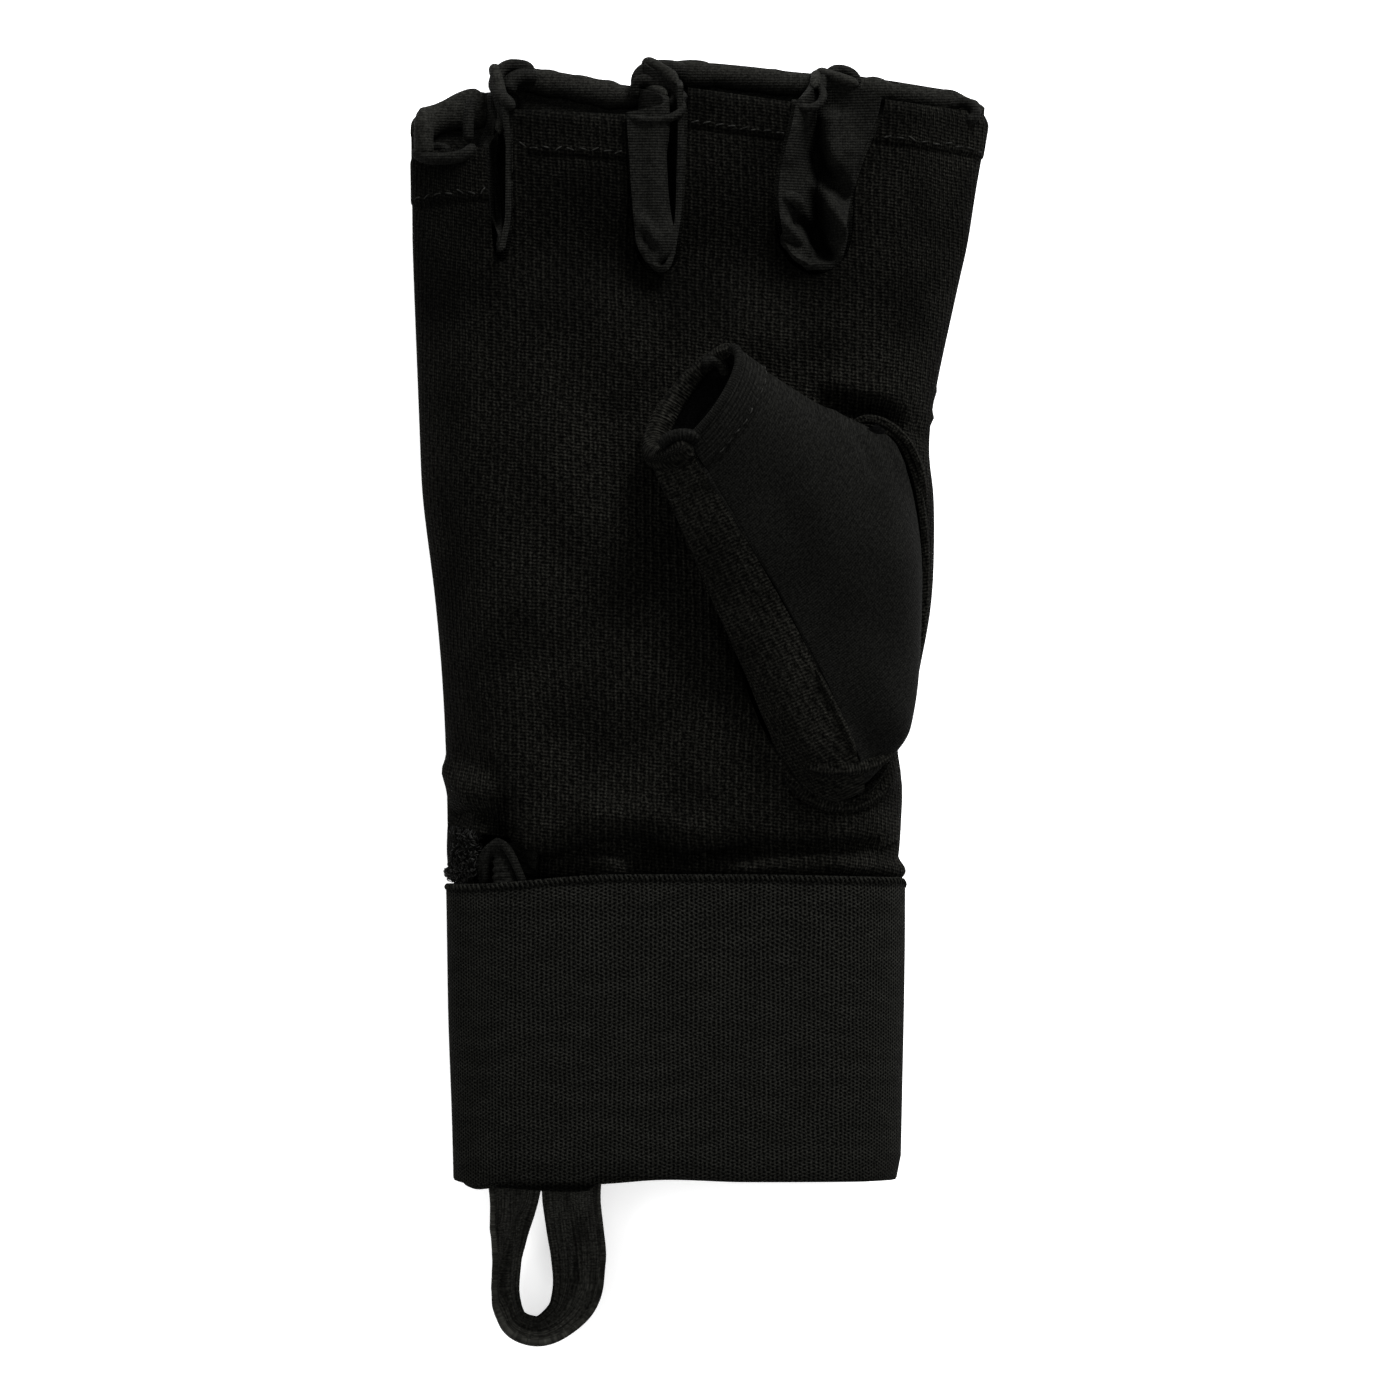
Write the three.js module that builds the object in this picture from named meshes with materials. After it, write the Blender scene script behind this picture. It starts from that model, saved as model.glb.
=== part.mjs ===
// Gel hand wrap for the right hand: a half-finger padded glove with a wide elastic wrist strap.
// It lies on its back with the palm up. X runs across the hand towards the thumb, Y runs from the
// wrist to the fingers and Z is up. The origin is on the resting plane under the middle of the part.
// All sizes are in millimetres.
import * as THREE from "three";

// Cloth thicknesses
const palmKnit = 2.0;
const paddedBack = 2.6;
const stretchCloth = 1.2;
const thumbCloth = 1.6;
const hemExtra = 0.6;
const strapThick = 1.5;
const sewGap = 0.4;

// Colours of the cloths
const knitBlack = { color: 0x0b0b0a, roughness: 0.95, metalness: 0 };
const smoothBlack = { color: 0x0d0d0f, roughness: 0.8, metalness: 0 };
const elasticBlack = { color: 0x0c0c0d, roughness: 0.9, metalness: 0 };
const fuzzyBlack = { color: 0x090909, roughness: 1, metalness: 0 };

// The hand part as a flattened tube: a row for each height along the hand, with the left and right
// edges, the lowest point of the back, the height of the side seam and the crown of the palm.
const cuffEnd = -94;
const handSections = [
  { y: cuffEnd, left: -45.1, right: 34.9, base: 5.7, seam: 11.6, top: 18.0 },
  { y: -66, left: -46.0, right: 35.4, base: 5.7, seam: 11.8, top: 18.6 },
  { y: -44, left: -46.7, right: 36.0, base: 5.7, seam: 11.8, top: 18.8 },
  { y: -36.3, left: -46.9, right: 36.1, base: 5.6, seam: 11.6, top: 18.9 },
  { y: -34.7, left: -49.2, right: 38.4, base: 3.8, seam: 11, top: 20.8 },
  { y: -32, left: -50.3, right: 39.6, base: 2.6, seam: 10.5, top: 22.4 },
  { y: -20, left: -50.6, right: 40.2, base: 1.5, seam: 10, top: 24.2 },
  { y: 0, left: -51.4, right: 42.6, base: 1.2, seam: 9.5, top: 25.2 },
  { y: 20, left: -53.0, right: 46.0, base: 1.4, seam: 9.5, top: 25.4 },
  { y: 40, left: -55.4, right: 46.5, base: 3.0, seam: 10, top: 25.0 },
  { y: 50, left: -56.0, right: 45.6, base: 4.3, seam: 10.5, top: 24.6 },
  { y: 60, left: -56.4, right: 46.6, base: 4.4, seam: 10.5, top: 24.0 },
  { y: 80, left: -57.2, right: 50.8, base: 4.4, seam: 10, top: 22.2 },
  { y: 92, left: -57.6, right: 53.4, base: 4.2, seam: 9.6, top: 20.2 },
  { y: 101, left: -57.7, right: 54.8, base: 2.4, seam: 8.8, top: 18.6 },
  { y: 112, left: -57.9, right: 56.8, base: 1.2, seam: 8, top: 17.0 },
  { y: 120, left: -57.6, right: 57.9, base: 1.0, seam: 7.6, top: 16.2 },
  { y: 130, left: -56.2, right: 57.6, base: 1.0, seam: 7.2, top: 15.8 },
];
const palmBluntness = 3.2;
const backBluntness = 6;
// Up to this share of the half width a column of the grid is placed by its x, beyond it by angle.
const flatShare = 0.85;
const flatReach = 0.78;

// The slots between the fingers: across the palm panel at the finger tips, half way down and low
// down, their lowest point, the same for the narrow slot in the back, and how the cloth between the
// fingers bows out on its left and right wall. A tip height is where a finger's opening ends there.
const tipLevel = 118;
const midLevel = 103;
const lowLevel = 91;
const slots = [
  {
    name: "little_ring",
    palmLeft: { tip: -43.3, mid: -42.4, low: -41.6, tipY: 110.6 },
    palmRight: { tip: -37.2, mid: -37.4, low: -37.8, tipY: 118 },
    lowX: -39.8,
    lowY: 87.4,
    backLeft: { x: -43.6, tipY: 121.8 },
    backRight: { x: -39.2, tipY: 127.4 },
    backLowY: 90,
    bowLeft: { x: 2.6, z: 3.2 },
    bowRight: { x: -0.2, z: 1.2 },
  },
  {
    name: "ring_middle",
    palmLeft: { tip: -15.0, mid: -14.2, low: -13.2, tipY: 116.9 },
    palmRight: { tip: -2.4, mid: -3.0, low: -3.8, tipY: 122.3 },
    lowX: -7.6,
    lowY: 84.8,
    backLeft: { x: -13.6, tipY: 122.8 },
    backRight: { x: -9.1, tipY: 128.4 },
    backLowY: 89,
    bowLeft: { x: 14.2, z: 9.5 },
    bowRight: { x: 0.6, z: -0.4 },
  },
  {
    name: "middle_index",
    palmLeft: { tip: 18.4, mid: 14.9, low: 15.6, tipY: 119.4 },
    palmRight: { tip: 37.0, mid: 31.4, low: 30.4, tipY: 120 },
    lowX: 23.6,
    lowY: 85.0,
    backLeft: { x: 21.0, tipY: 125.6 },
    backRight: { x: 25.6, tipY: 126.0 },
    backLowY: 89,
    bowLeft: { x: 3.0, z: 5.5 },
    bowRight: { x: -2.6, z: 4.5 },
  },
];
const littleTip = { palmY: 109.4, backY: 113.4, swell: 1.0 };
const indexTip = { palmY: 116.6, backY: 119.8, swell: 0.2 };
const middleSwell = 0.4;
// Shares of a finger's length, from the crotch between two fingers to the opening.
const fingerRows = [0.06, 0.14, 0.25, 0.42, 0.58, 0.75, 0.87, 1];
const crotchRound = 0.25;
// The cloth between the fingers: its gap to the palm panel, how much more it keeps to the back, how
// deep in the back's thickness it starts, its thicker hem, and how upright its two edges stand.
const gusset = { gap: 0.65, backGap: 0.85, depth: 0.7, hem: 0.3, upright: 0.36, backBulge: 0.5, cells: 5 };

// Dents and swells of the palm: middle, reach along and across, turn in degrees, and height.
const palmDents = [
  { x: -2, y: -30.4, reachX: 24, reachY: 1.9, turn: 1, height: -3.6 },
  { x: -4, y: -35, reachX: 34, reachY: 2.0, turn: 1, height: 0.8 },
  { x: -38.5, y: -30, reachX: 3.2, reachY: 4.2, turn: -20, height: -3.2 },
  { x: -12, y: 18, reachX: 16, reachY: 34, turn: -8, height: -1.5 },
  { x: -40, y: 70, reachX: 3.5, reachY: 16, turn: 0, height: -1.0 },
  { x: -8, y: 70, reachX: 4, reachY: 16, turn: 0, height: -1.1 },
  { x: 23, y: 72, reachX: 5, reachY: 14, turn: 6, height: -1.1 },
  { x: 30, y: 58, reachX: 14, reachY: 2.6, turn: -10, height: -1.6 },
  { x: -46, y: -8, reachX: 3, reachY: 14, turn: 6, height: 0.5 },
];

// Seam round the foot of the thumb, seen from above, by the angle round the thumb's tube, and how
// far the cloth leans from it as it leaves the palm.
const thumbSeam = [
  { angle: 0, x: 37.0, y: 53.6, leanX: -8, leanY: 1.2 },
  { angle: 25, x: 42.0, y: 46.0, leanX: -4.5, leanY: 0.6 },
  { angle: 50, x: 44.2, y: 34.0, leanX: -1.5, leanY: 0 },
  { angle: 75, x: 44.4, y: 20.0, leanX: 0, leanY: 0 },
  { angle: 100, x: 42.4, y: 6.0, leanX: 0.4, leanY: 0 },
  { angle: 125, x: 38.6, y: -8.0, leanX: 0.4, leanY: 0 },
  { angle: 145, x: 33.4, y: -17.6, leanX: 0, leanY: 0 },
  { angle: 165, x: 26.0, y: -20.4, leanX: 0, leanY: 0 },
  { angle: 185, x: 18.4, y: -15.6, leanX: 0, leanY: 0 },
  { angle: 210, x: 11.4, y: -3.4, leanX: 0, leanY: 0 },
  { angle: 240, x: 6.8, y: 12.0, leanX: 0, leanY: 0 },
  { angle: 270, x: 7.6, y: 26.0, leanX: 0, leanY: 0 },
  { angle: 300, x: 14.5, y: 39.0, leanX: 0, leanY: 0 },
  { angle: 330, x: 25.0, y: 49.0, leanX: -4, leanY: 0.6 },
];
const thumbMouth = {
  x: -1.3,
  y: 59.0,
  halfWidth: 13.6,
  halfHeight: 6.3,
  heading: 51.9,
  upperLipBack: 4.6,
  lowerLipForward: 4.4,
  lift: 0.7,
};
// The angles where the smooth sleeve gives way to the knit under the thumb, at its foot and mouth.
const thumbKnitFrom = { foot: 147, mouth: 121 };
const thumbKnitTo = { foot: 338, mouth: 342 };
const thumbSew = { foot: 0.5, mouth: 2.0 };
// Shares of the thumb's length where its rings lie, and the one where its hem starts.
const thumbRings = [0, 0.05, 0.13, 0.24, 0.36, 0.48, 0.6, 0.72, 0.81, 0.86, 0.93, 1];
const thumbHem = 0.86;
// How high the thumb's cloth rises from its foot, at its sides and its crown, how much less under
// the thumb, and how far it runs straight out of its mouth along the sleeve and along the knit.
const thumbRise = { side: 5, crown: 19.5, sharpness: 0.7, underLess: 0.7 };
const thumbStraight = { sleeve: 0.38, knit: 0.36 };
const thumbCells = { sleeve: 13, knit: 14 };

// Wrist strap: a wide elastic wound almost twice round the cuff. The inner turn slips down by its
// drop where the loop leaves it. Lengths along the strap are in turns.
const strap = {
  top: -36.8,
  bottom: -96.2,
  cuffFace: -37,
  firstOffset: 0.45,
  pitch: 1.9,
  turns: 1.86,
  innerDrop: 2.0,
  innerDropAt: 0.38,
  innerDropReach: 0.11,
};
const strapRows = [0, 0.34, 0.67, 1];
const strapCells = 84;
// The fastening tab that carries the strap on round the back
const tab = { gap: 0.008, end: 2.12, inset: 6, thick: 1.2, cells: 8 };

// Pull loop: a folded tape. Tilt is how far its width is turned up from lying flat.
const tapeWidth = 11;
const tapeThick = 1.2;
const loopPath = [
  { x: -25.6, y: -84, z: 9.9, tilt: 0 },
  { x: -25.6, y: -94.6, z: 10.1, tilt: 0 },
  { x: -25.8, y: -100, z: 7.8, tilt: 4 },
  { x: -25.2, y: -106, z: 4.2, tilt: 10 },
  { x: -24.4, y: -112, z: 3.4, tilt: 18 },
  { x: -24.6, y: -117.4, z: 4.4, tilt: 34 },
  { x: -27.0, y: -122.4, z: 5.4, tilt: 56 },
  { x: -32.0, y: -125.9, z: 5.8, tilt: 66 },
  { x: -37.0, y: -124.4, z: 5.9, tilt: 68 },
  { x: -38.9, y: -119.6, z: 6.0, tilt: 69 },
  { x: -38.9, y: -113, z: 6.4, tilt: 66 },
  { x: -38.2, y: -106.6, z: 7.6, tilt: 54 },
  { x: -37.2, y: -99.6, z: 10.4, tilt: 36 },
  { x: -37.0, y: -93, z: 11.6, tilt: 14 },
  { x: -37.0, y: -84, z: 11.2, tilt: 8 },
];

// Cuff vent on the little finger's side
const vent = { x: -38.4, top: -27.6, seamTop: -25.2 };
const bindingPath = [
  { x: -39.6, y: -28.6 },
  { x: -42.2, y: -30.4 },
  { x: -43.4, y: -33.6 },
  { x: -42.6, y: -38 },
  { x: -41.8, y: -46 },
];
const binding = { width: 2.6, thick: 1.8, steps: 12, arcSegments: 4, sink: 0.1 };
// The soft pile where the strap's tab grips, beside the vent
const patch = { edgeX: -45.2, thick: 1.6, cells: 6, topShare: 0.6 };
const patchRows = [-60, -52, -44, -38.2, -36.3, -34.7, -32.4, -28.4];
// The stretch cloth that closes the vent from inside
const gore = { left: -42.6, right: -33, cells: 4 };
const goreRows = [-58, -48, -39, -36.6, -34.4, -32, -29.6];

// Knuckle pad on the hidden back
const pad = { left: -49, right: 43, bottom: 53, top: 93, corner: 9, edge: 1.1, gap: 0.5, cells: [14, 8] };
// How much closer the pad's grid lines stand at its rim
const padCrowding = 0.86;

const radians = THREE.MathUtils.degToRad;
const lerp = THREE.MathUtils.lerp;
const clamp = THREE.MathUtils.clamp;
const at = (x, y, z) => new THREE.Vector3(x, y, z);
const bell = (t) => Math.exp(-t * t);

// All the named columns of a table, read smoothly between its rows.
function readTable(rows, key, where) {
  const last = rows.length - 1;
  const value = clamp(where, rows[0][key], rows[last][key]);
  let k = 0;
  while (k < last - 1 && value > rows[k + 1][key]) k += 1;
  const [before, from, to, after] = [k - 1, k, k + 1, k + 2].map((n) => rows[clamp(n, 0, last)]);
  const span = to[key] - from[key];
  const t = (value - from[key]) / span;
  const result = {};
  for (const name of Object.keys(from)) {
    const leave = ((to[name] - before[name]) / (to[key] - before[key])) * span;
    const arrive = ((after[name] - from[name]) / (after[key] - from[key])) * span;
    const rise = to[name] - from[name];
    const bend = leave + arrive - 2 * rise;
    result[name] = from[name] + t * (leave + t * (3 * rise - 2 * leave - arrive + t * bend));
  }
  return result;
}

// Where a column of the grid lies across the hand: share is -1 to 1 of the half width, and rise is
// 1 on the crown and 0 at the side seam.
function acrossHand(column, bluntness) {
  const side = Math.sign(column);
  const reach = Math.abs(column);
  const turnFrom = Math.asin(flatShare ** (bluntness / 2));
  let share = (reach / flatReach) * flatShare;
  if (reach > flatReach) {
    const turn = lerp(turnFrom, Math.PI / 2, (reach - flatReach) / (1 - flatReach));
    share = Math.sin(turn) ** (2 / bluntness);
  }
  return { share: side * share, rise: Math.sqrt(Math.max(0, 1 - share ** bluntness)) };
}

// The column of the grid that passes through x at height y along the hand.
function columnAt(x, y, bluntness) {
  const row = readTable(handSections, "y", y);
  const share = (x - (row.left + row.right) / 2) / ((row.right - row.left) / 2);
  const reach = Math.min(1, Math.abs(share));
  if (reach <= flatShare) return (share * flatReach) / flatShare;
  const turnFrom = Math.asin(flatShare ** (bluntness / 2));
  const turn = Math.asin(reach ** (bluntness / 2));
  const beyond = (turn - turnFrom) / (Math.PI / 2 - turnFrom);
  return Math.sign(share) * lerp(flatReach, 1, beyond);
}

function dentsAt(x, y) {
  let height = 0;
  for (const dent of palmDents) {
    const turn = radians(dent.turn);
    const along = ((x - dent.x) * Math.cos(turn) + (y - dent.y) * Math.sin(turn)) / dent.reachX;
    const across = ((y - dent.y) * Math.cos(turn) - (x - dent.x) * Math.sin(turn)) / dent.reachY;
    height += dent.height * bell(along) * bell(across);
  }
  return height;
}

function palmPoint(column, y) {
  const row = readTable(handSections, "y", y);
  const { share, rise } = acrossHand(column, palmBluntness);
  const x = (row.left + row.right) / 2 + (share * (row.right - row.left)) / 2;
  return at(x, y, row.seam + (row.top - row.seam) * rise + dentsAt(x, y) * rise);
}

function backPoint(column, y) {
  const row = readTable(handSections, "y", y);
  const { share, rise } = acrossHand(column, backBluntness);
  const x = (row.left + row.right) / 2 + (share * (row.right - row.left)) / 2;
  return at(x, y, row.seam - sewGap - (row.seam - sewGap - row.base) * rise);
}

function palmNormal(column, y) {
  const across = palmPoint(column + 0.01, y).sub(palmPoint(column - 0.01, y));
  const along = palmPoint(column, y + 0.3).sub(palmPoint(column, y - 0.3));
  return across.cross(along).normalize();
}

const palmHeight = (x, y) => palmPoint(columnAt(x, y, palmBluntness), y).z;

// A closed wall of cloth over a grid of points. Cells that keep() refuses are left open, and the
// wall is as thick as thickness() says on the side that inward points to, along the grid's own
// normal or as turn() turns it.
function clothWall({ points, thickness, keep = () => true, inward = -1, turn = (i, j, normal) => normal }) {
  const columns = points.length - 1;
  const rows = points[0].length - 1;
  const kept = (i, j) => i >= 0 && j >= 0 && i < columns && j < rows && keep(i, j);
  const corners = [];
  const index = points.map((line) => line.map(() => -1));
  const faces = [];
  const normalAt = (i, j) => {
    const sum = at(0, 0, 0);
    for (const [a, b] of [[i - 1, j - 1], [i, j - 1], [i - 1, j], [i, j]]) {
      if (!kept(a, b)) continue;
      const across = points[a + 1][b + 1].clone().sub(points[a][b]);
      const back = points[a][b + 1].clone().sub(points[a + 1][b]);
      sum.add(across.cross(back).normalize());
    }
    return turn(i, j, sum.normalize());
  };
  const vertex = (i, j) => {
    if (index[i][j] < 0) {
      index[i][j] = corners.length;
      const outer = points[i][j];
      corners.push(outer, outer.clone().addScaledVector(normalAt(i, j), inward * thickness(i, j)));
    }
    return index[i][j];
  };
  const quad = (a, b, c, d) => faces.push([a, b, c], [a, c, d]);
  for (let i = 0; i < columns; i += 1) {
    for (let j = 0; j < rows; j += 1) {
      if (!kept(i, j)) continue;
      const [a, b, c, d] = [vertex(i, j), vertex(i + 1, j), vertex(i + 1, j + 1), vertex(i, j + 1)];
      quad(a, b, c, d);
      quad(a + 1, d + 1, c + 1, b + 1);
      if (!kept(i, j - 1)) quad(a, a + 1, b + 1, b);
      if (!kept(i + 1, j)) quad(b, b + 1, c + 1, c);
      if (!kept(i, j + 1)) quad(c, c + 1, d + 1, d);
      if (!kept(i - 1, j)) quad(d, d + 1, a + 1, a);
    }
  }
  const geometry = new THREE.BufferGeometry();
  const places = corners.flatMap((corner) => corner.toArray());
  geometry.setAttribute("position", new THREE.Float32BufferAttribute(places, 3));
  geometry.setIndex(inward < 0 ? faces.flat() : faces.flatMap(([a, b, c]) => [a, c, b]));
  geometry.computeVertexNormals();
  return geometry;
}

// A grid of [column, y] places that passes through its pinned ones, with the rest carried along.
function pinnedGrid(columns, rows, pins, rounds = 400) {
  const shift = columns.map(() => rows.map(() => [0, 0]));
  const pinned = new Map(pins.map((pin) => [`${pin.i},${pin.j}`, pin]));
  for (let round = 0; round < rounds; round += 1) {
    for (let i = 0; i < columns.length; i += 1) {
      for (let j = 0; j < rows.length; j += 1) {
        const pin = pinned.get(`${i},${j}`) ?? {};
        const around = [[i - 1, j], [i + 1, j], [i, j - 1], [i, j + 1]]
          .filter(([a, b]) => shift[a]?.[b]);
        const mean = (n) => around.reduce((sum, [a, b]) => sum + shift[a][b][n], 0) / around.length;
        const onSeam = i === 0 || i === columns.length - 1;
        const drift = onSeam ? 0 : mean(0);
        shift[i][j][0] = pin.column === undefined ? drift : pin.column - columns[i];
        shift[i][j][1] = pin.y === undefined ? mean(1) : pin.y - rows[j];
      }
    }
  }
  return shift.map((line, i) =>
    line.map(([across, along], j) => ({ column: columns[i] + across, y: rows[j] + along })));
}

// One edge of a slot in the palm panel. Side is -1 on the left and 1 on the right, and share runs
// from the crotch between the fingers to the finger's opening.
function slotEdge(slot, side, share) {
  const edge = side < 0 ? slot.palmLeft : slot.palmRight;
  const y = lerp(slot.lowY, edge.tipY, share);
  const profile = [
    { y: lowLevel, x: edge.low },
    { y: midLevel, x: edge.mid },
    { y: tipLevel, x: edge.tip },
  ];
  const open = Math.sqrt(1 - (1 - Math.min(share / crotchRound, 1)) ** 2);
  return { x: lerp(slot.lowX, readTable(profile, "y", y).x, open), y };
}

// Grid columns of the palm: edges of the hand and of the slots, and the cells between them.
const palmCells = [5, 2, 5, 2, 5, 3, 6];
const palmEdgeColumns = palmCells.reduce((list, count) => [...list, list.at(-1) + count], [0]);
const palmColumnCount = palmEdgeColumns.at(-1);
const palmColumns = Array.from({ length: palmColumnCount + 1 }, (_, i) => -1 + (2 * i) / palmColumnCount);
const cuffRows = [cuffEnd, -78, -62, -48, -38.2, -36.3, -35.2, -34, -32.2, -30.6, -29, -27, -23.6];
const levelCuffRows = 5;
const crotchLevel = 86;
const hand = { from: -19, to: crotchLevel - 6, rows: 18 };
const handRows = Array.from({ length: hand.rows }, (_, k) => lerp(hand.from, hand.to, k / (hand.rows - 1)));
const tipRows = fingerRows.map((share) => lerp(crotchLevel, tipLevel, share));
const palmRows = [...cuffRows, ...handRows, ...tipRows];
const crotchRow = cuffRows.length + handRows.length;
const ventRow = cuffRows.length - 2;
const ventColumn = 3;
const thumbHole = { left: 16, right: 26, bottom: 13, top: 26 };
const holeCorners = { topRight: 30, bottomRight: 118, bottomLeft: 196, topLeft: 288 };

const seamLoop = [...thumbSeam, { ...thumbSeam[0], angle: 360 }];
function thumbSeamAt(angle) {
  const turned = ((angle % 360) + 360) % 360;
  const ends = [
    { ...thumbSeam.at(-1), angle: thumbSeam.at(-1).angle - 360 },
    ...seamLoop,
    { ...thumbSeam[1], angle: thumbSeam[1].angle + 360 },
  ];
  return readTable(ends, "angle", turned);
}

function palmPins() {
  const pins = [];
  const pinAt = (i, j, x, y) => pins.push({ i, j, y, column: columnAt(x, y, palmBluntness) });
  slots.forEach((slot, k) => {
    const [first, last] = [palmEdgeColumns[2 * k + 1], palmEdgeColumns[2 * k + 2]];
    fingerRows.forEach((share, r) => {
      const [left, right] = [slotEdge(slot, -1, share), slotEdge(slot, 1, share)];
      pinAt(first, crotchRow + r, left.x, left.y);
      pinAt(last, crotchRow + r, right.x, right.y);
      for (let i = first + 1; i < last; i += 1) {
        const place = (i - first) / (last - first);
        const low = r === 0 ? slot.lowY : lerp(left.y, right.y, place);
        pinAt(i, crotchRow + r, lerp(left.x, right.x, place), low);
      }
    });
  });
  const tipRow = palmRows.length - 1;
  const slotTips = slots.flatMap((slot) => [slot.palmLeft.tipY, slot.palmRight.tipY]);
  const tips = [littleTip.palmY, ...slotTips, indexTip.palmY];
  palmEdgeColumns.forEach((from, k) => {
    if (k % 2 || k === palmEdgeColumns.length - 1) return;
    const to = palmEdgeColumns[k + 1];
    for (let i = from; i <= to; i += 1) {
      const place = (i - from) / (to - from);
      pins.push({ i, j: tipRow, y: lerp(tips[k], tips[k + 1], place) });
    }
  });
  const isPinned = new Set(pins.filter((p) => p.column !== undefined).map((p) => `${p.i},${p.j}`));
  const free = pins.filter((p) => p.column !== undefined || !isPinned.has(`${p.i},${p.j}`));
  for (let j = 0; j <= ventRow; j += 1) {
    const y = j === ventRow ? vent.top : palmRows[j];
    free.push({ i: ventColumn, j, y, column: columnAt(vent.x, y, palmBluntness) });
    for (let i = 0; i < ventColumn; i += 1) {
      if (j === ventRow) free.push({ i, j, y: lerp(vent.seamTop, vent.top, i / ventColumn) });
    }
  }
  for (let i = ventColumn + 1; i <= palmColumnCount; i += 1) {
    for (let j = 0; j < levelCuffRows; j += 1) free.push({ i, j, y: palmRows[j] });
  }
  const { left, right, bottom, top } = thumbHole;
  const round = (i, j, from, to, share) => {
    const place = thumbSeamAt(lerp(from, to, share));
    free.push({ i, j, y: place.y, column: columnAt(place.x, place.y, palmBluntness) });
  };
  for (let j = bottom; j <= top; j += 1) {
    const share = (j - bottom) / (top - bottom);
    round(right, j, holeCorners.bottomRight, holeCorners.topRight, share);
    round(left, j, holeCorners.bottomLeft, holeCorners.topLeft, share);
  }
  for (let i = left + 1; i < right; i += 1) {
    const share = (i - left) / (right - left);
    round(i, bottom, holeCorners.bottomLeft, holeCorners.bottomRight, share);
    round(i, top, holeCorners.topLeft, holeCorners.topRight + 360, share);
  }
  return free;
}

function inSlot(edges, i) {
  return edges.some((from, k) => k % 2 === 1 && k < edges.length - 1 && i >= from && i < edges[k + 1]);
}

// Along a side seam the cloth's edge stays level, so the palm and the back meet face to face.
const levelAtSeams = (columnCount) => (i, j, normal) =>
  i === 0 || i === columnCount ? normal.setZ(0).normalize() : normal;

function palmPanel() {
  const grid = pinnedGrid(palmColumns, palmRows, palmPins());
  const { left, right, bottom, top } = thumbHole;
  const hemFrom = palmRows.length - 3;
  return clothWall({
    points: grid.map((line) => line.map(({ column, y }) => palmPoint(column, y))),
    thickness: (i, j) => palmKnit + (j > hemFrom ? hemExtra : 0),
    turn: levelAtSeams(palmColumnCount),
    keep: (i, j) => {
      const hole = i >= left && i < right && j >= bottom && j < top;
      const cut = i < ventColumn && j < ventRow;
      return !hole && !cut && !(j >= crotchRow && inSlot(palmEdgeColumns, i));
    },
  });
}

const backCells = [4, 1, 4, 1, 4, 1, 5];
const backEdgeColumns = backCells.reduce((list, count) => [...list, list.at(-1) + count], [0]);
const backCrotch = 89;
const backCuffRows = [cuffEnd, -66, -38.2, -36.3, -34.7];
const backHandRows = [-32, -26, -14, 0, 14, 28, 40, 48, 56, 66, 76, 84];
const backTipRows = [backCrotch, 93, 99, 105, 111, 117, 121.5];
const backRows = [...backCuffRows, ...backHandRows, ...backTipRows];
const backCrotchRow = backRows.indexOf(backCrotch);

function backPanel() {
  const count = backEdgeColumns.at(-1);
  const columns = Array.from({ length: count + 1 }, (_, i) => -1 + (2 * i) / count);
  const tipRow = backRows.length - 1;
  const pins = [];
  const slotTips = slots.flatMap((slot) => [slot.backLeft.tipY, slot.backRight.tipY]);
  const tips = [littleTip.backY, ...slotTips, indexTip.backY];
  const swell = [littleTip.swell, 0, middleSwell, 0, middleSwell, 0, indexTip.swell];
  slots.forEach((slot, k) => {
    const edges = [
      [backEdgeColumns[2 * k + 1], slot.backLeft],
      [backEdgeColumns[2 * k + 2], slot.backRight],
    ];
    for (let j = backCrotchRow; j <= tipRow; j += 1) {
      const share = (j - backCrotchRow) / (tipRow - backCrotchRow);
      for (const [i, edge] of edges) {
        const y = lerp(slot.backLowY, edge.tipY, share);
        pins.push({ i, j, y, column: columnAt(edge.x, y, backBluntness) });
      }
    }
  });
  for (let k = 0; k < backEdgeColumns.length - 1; k += 2) {
    const [from, to] = [backEdgeColumns[k], backEdgeColumns[k + 1]];
    for (let i = from; i <= to; i += 1) {
      const onSlot = pins.some((p) => p.i === i && p.j === tipRow);
      const place = (i - from) / (to - from);
      const arch = swell[k] * (1 - (2 * place - 1) ** 2);
      if (!onSlot) pins.push({ i, j: tipRow, y: lerp(tips[k], tips[k + 1], place) + arch });
    }
  }
  for (let i = 0; i <= count; i += 1) {
    for (let j = 0; j < backCuffRows.length; j += 1) pins.push({ i, j, y: backRows[j] });
  }
  const grid = pinnedGrid(columns, backRows, pins);
  return clothWall({
    points: grid.map((line) => line.map(({ column, y }) => backPoint(column, y))),
    thickness: (i, j) => paddedBack + (j > tipRow - 2 ? hemExtra : 0),
    keep: (i, j) => !(j >= backCrotchRow && inSlot(backEdgeColumns, i)),
    turn: levelAtSeams(count),
    inward: 1,
  });
}

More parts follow.
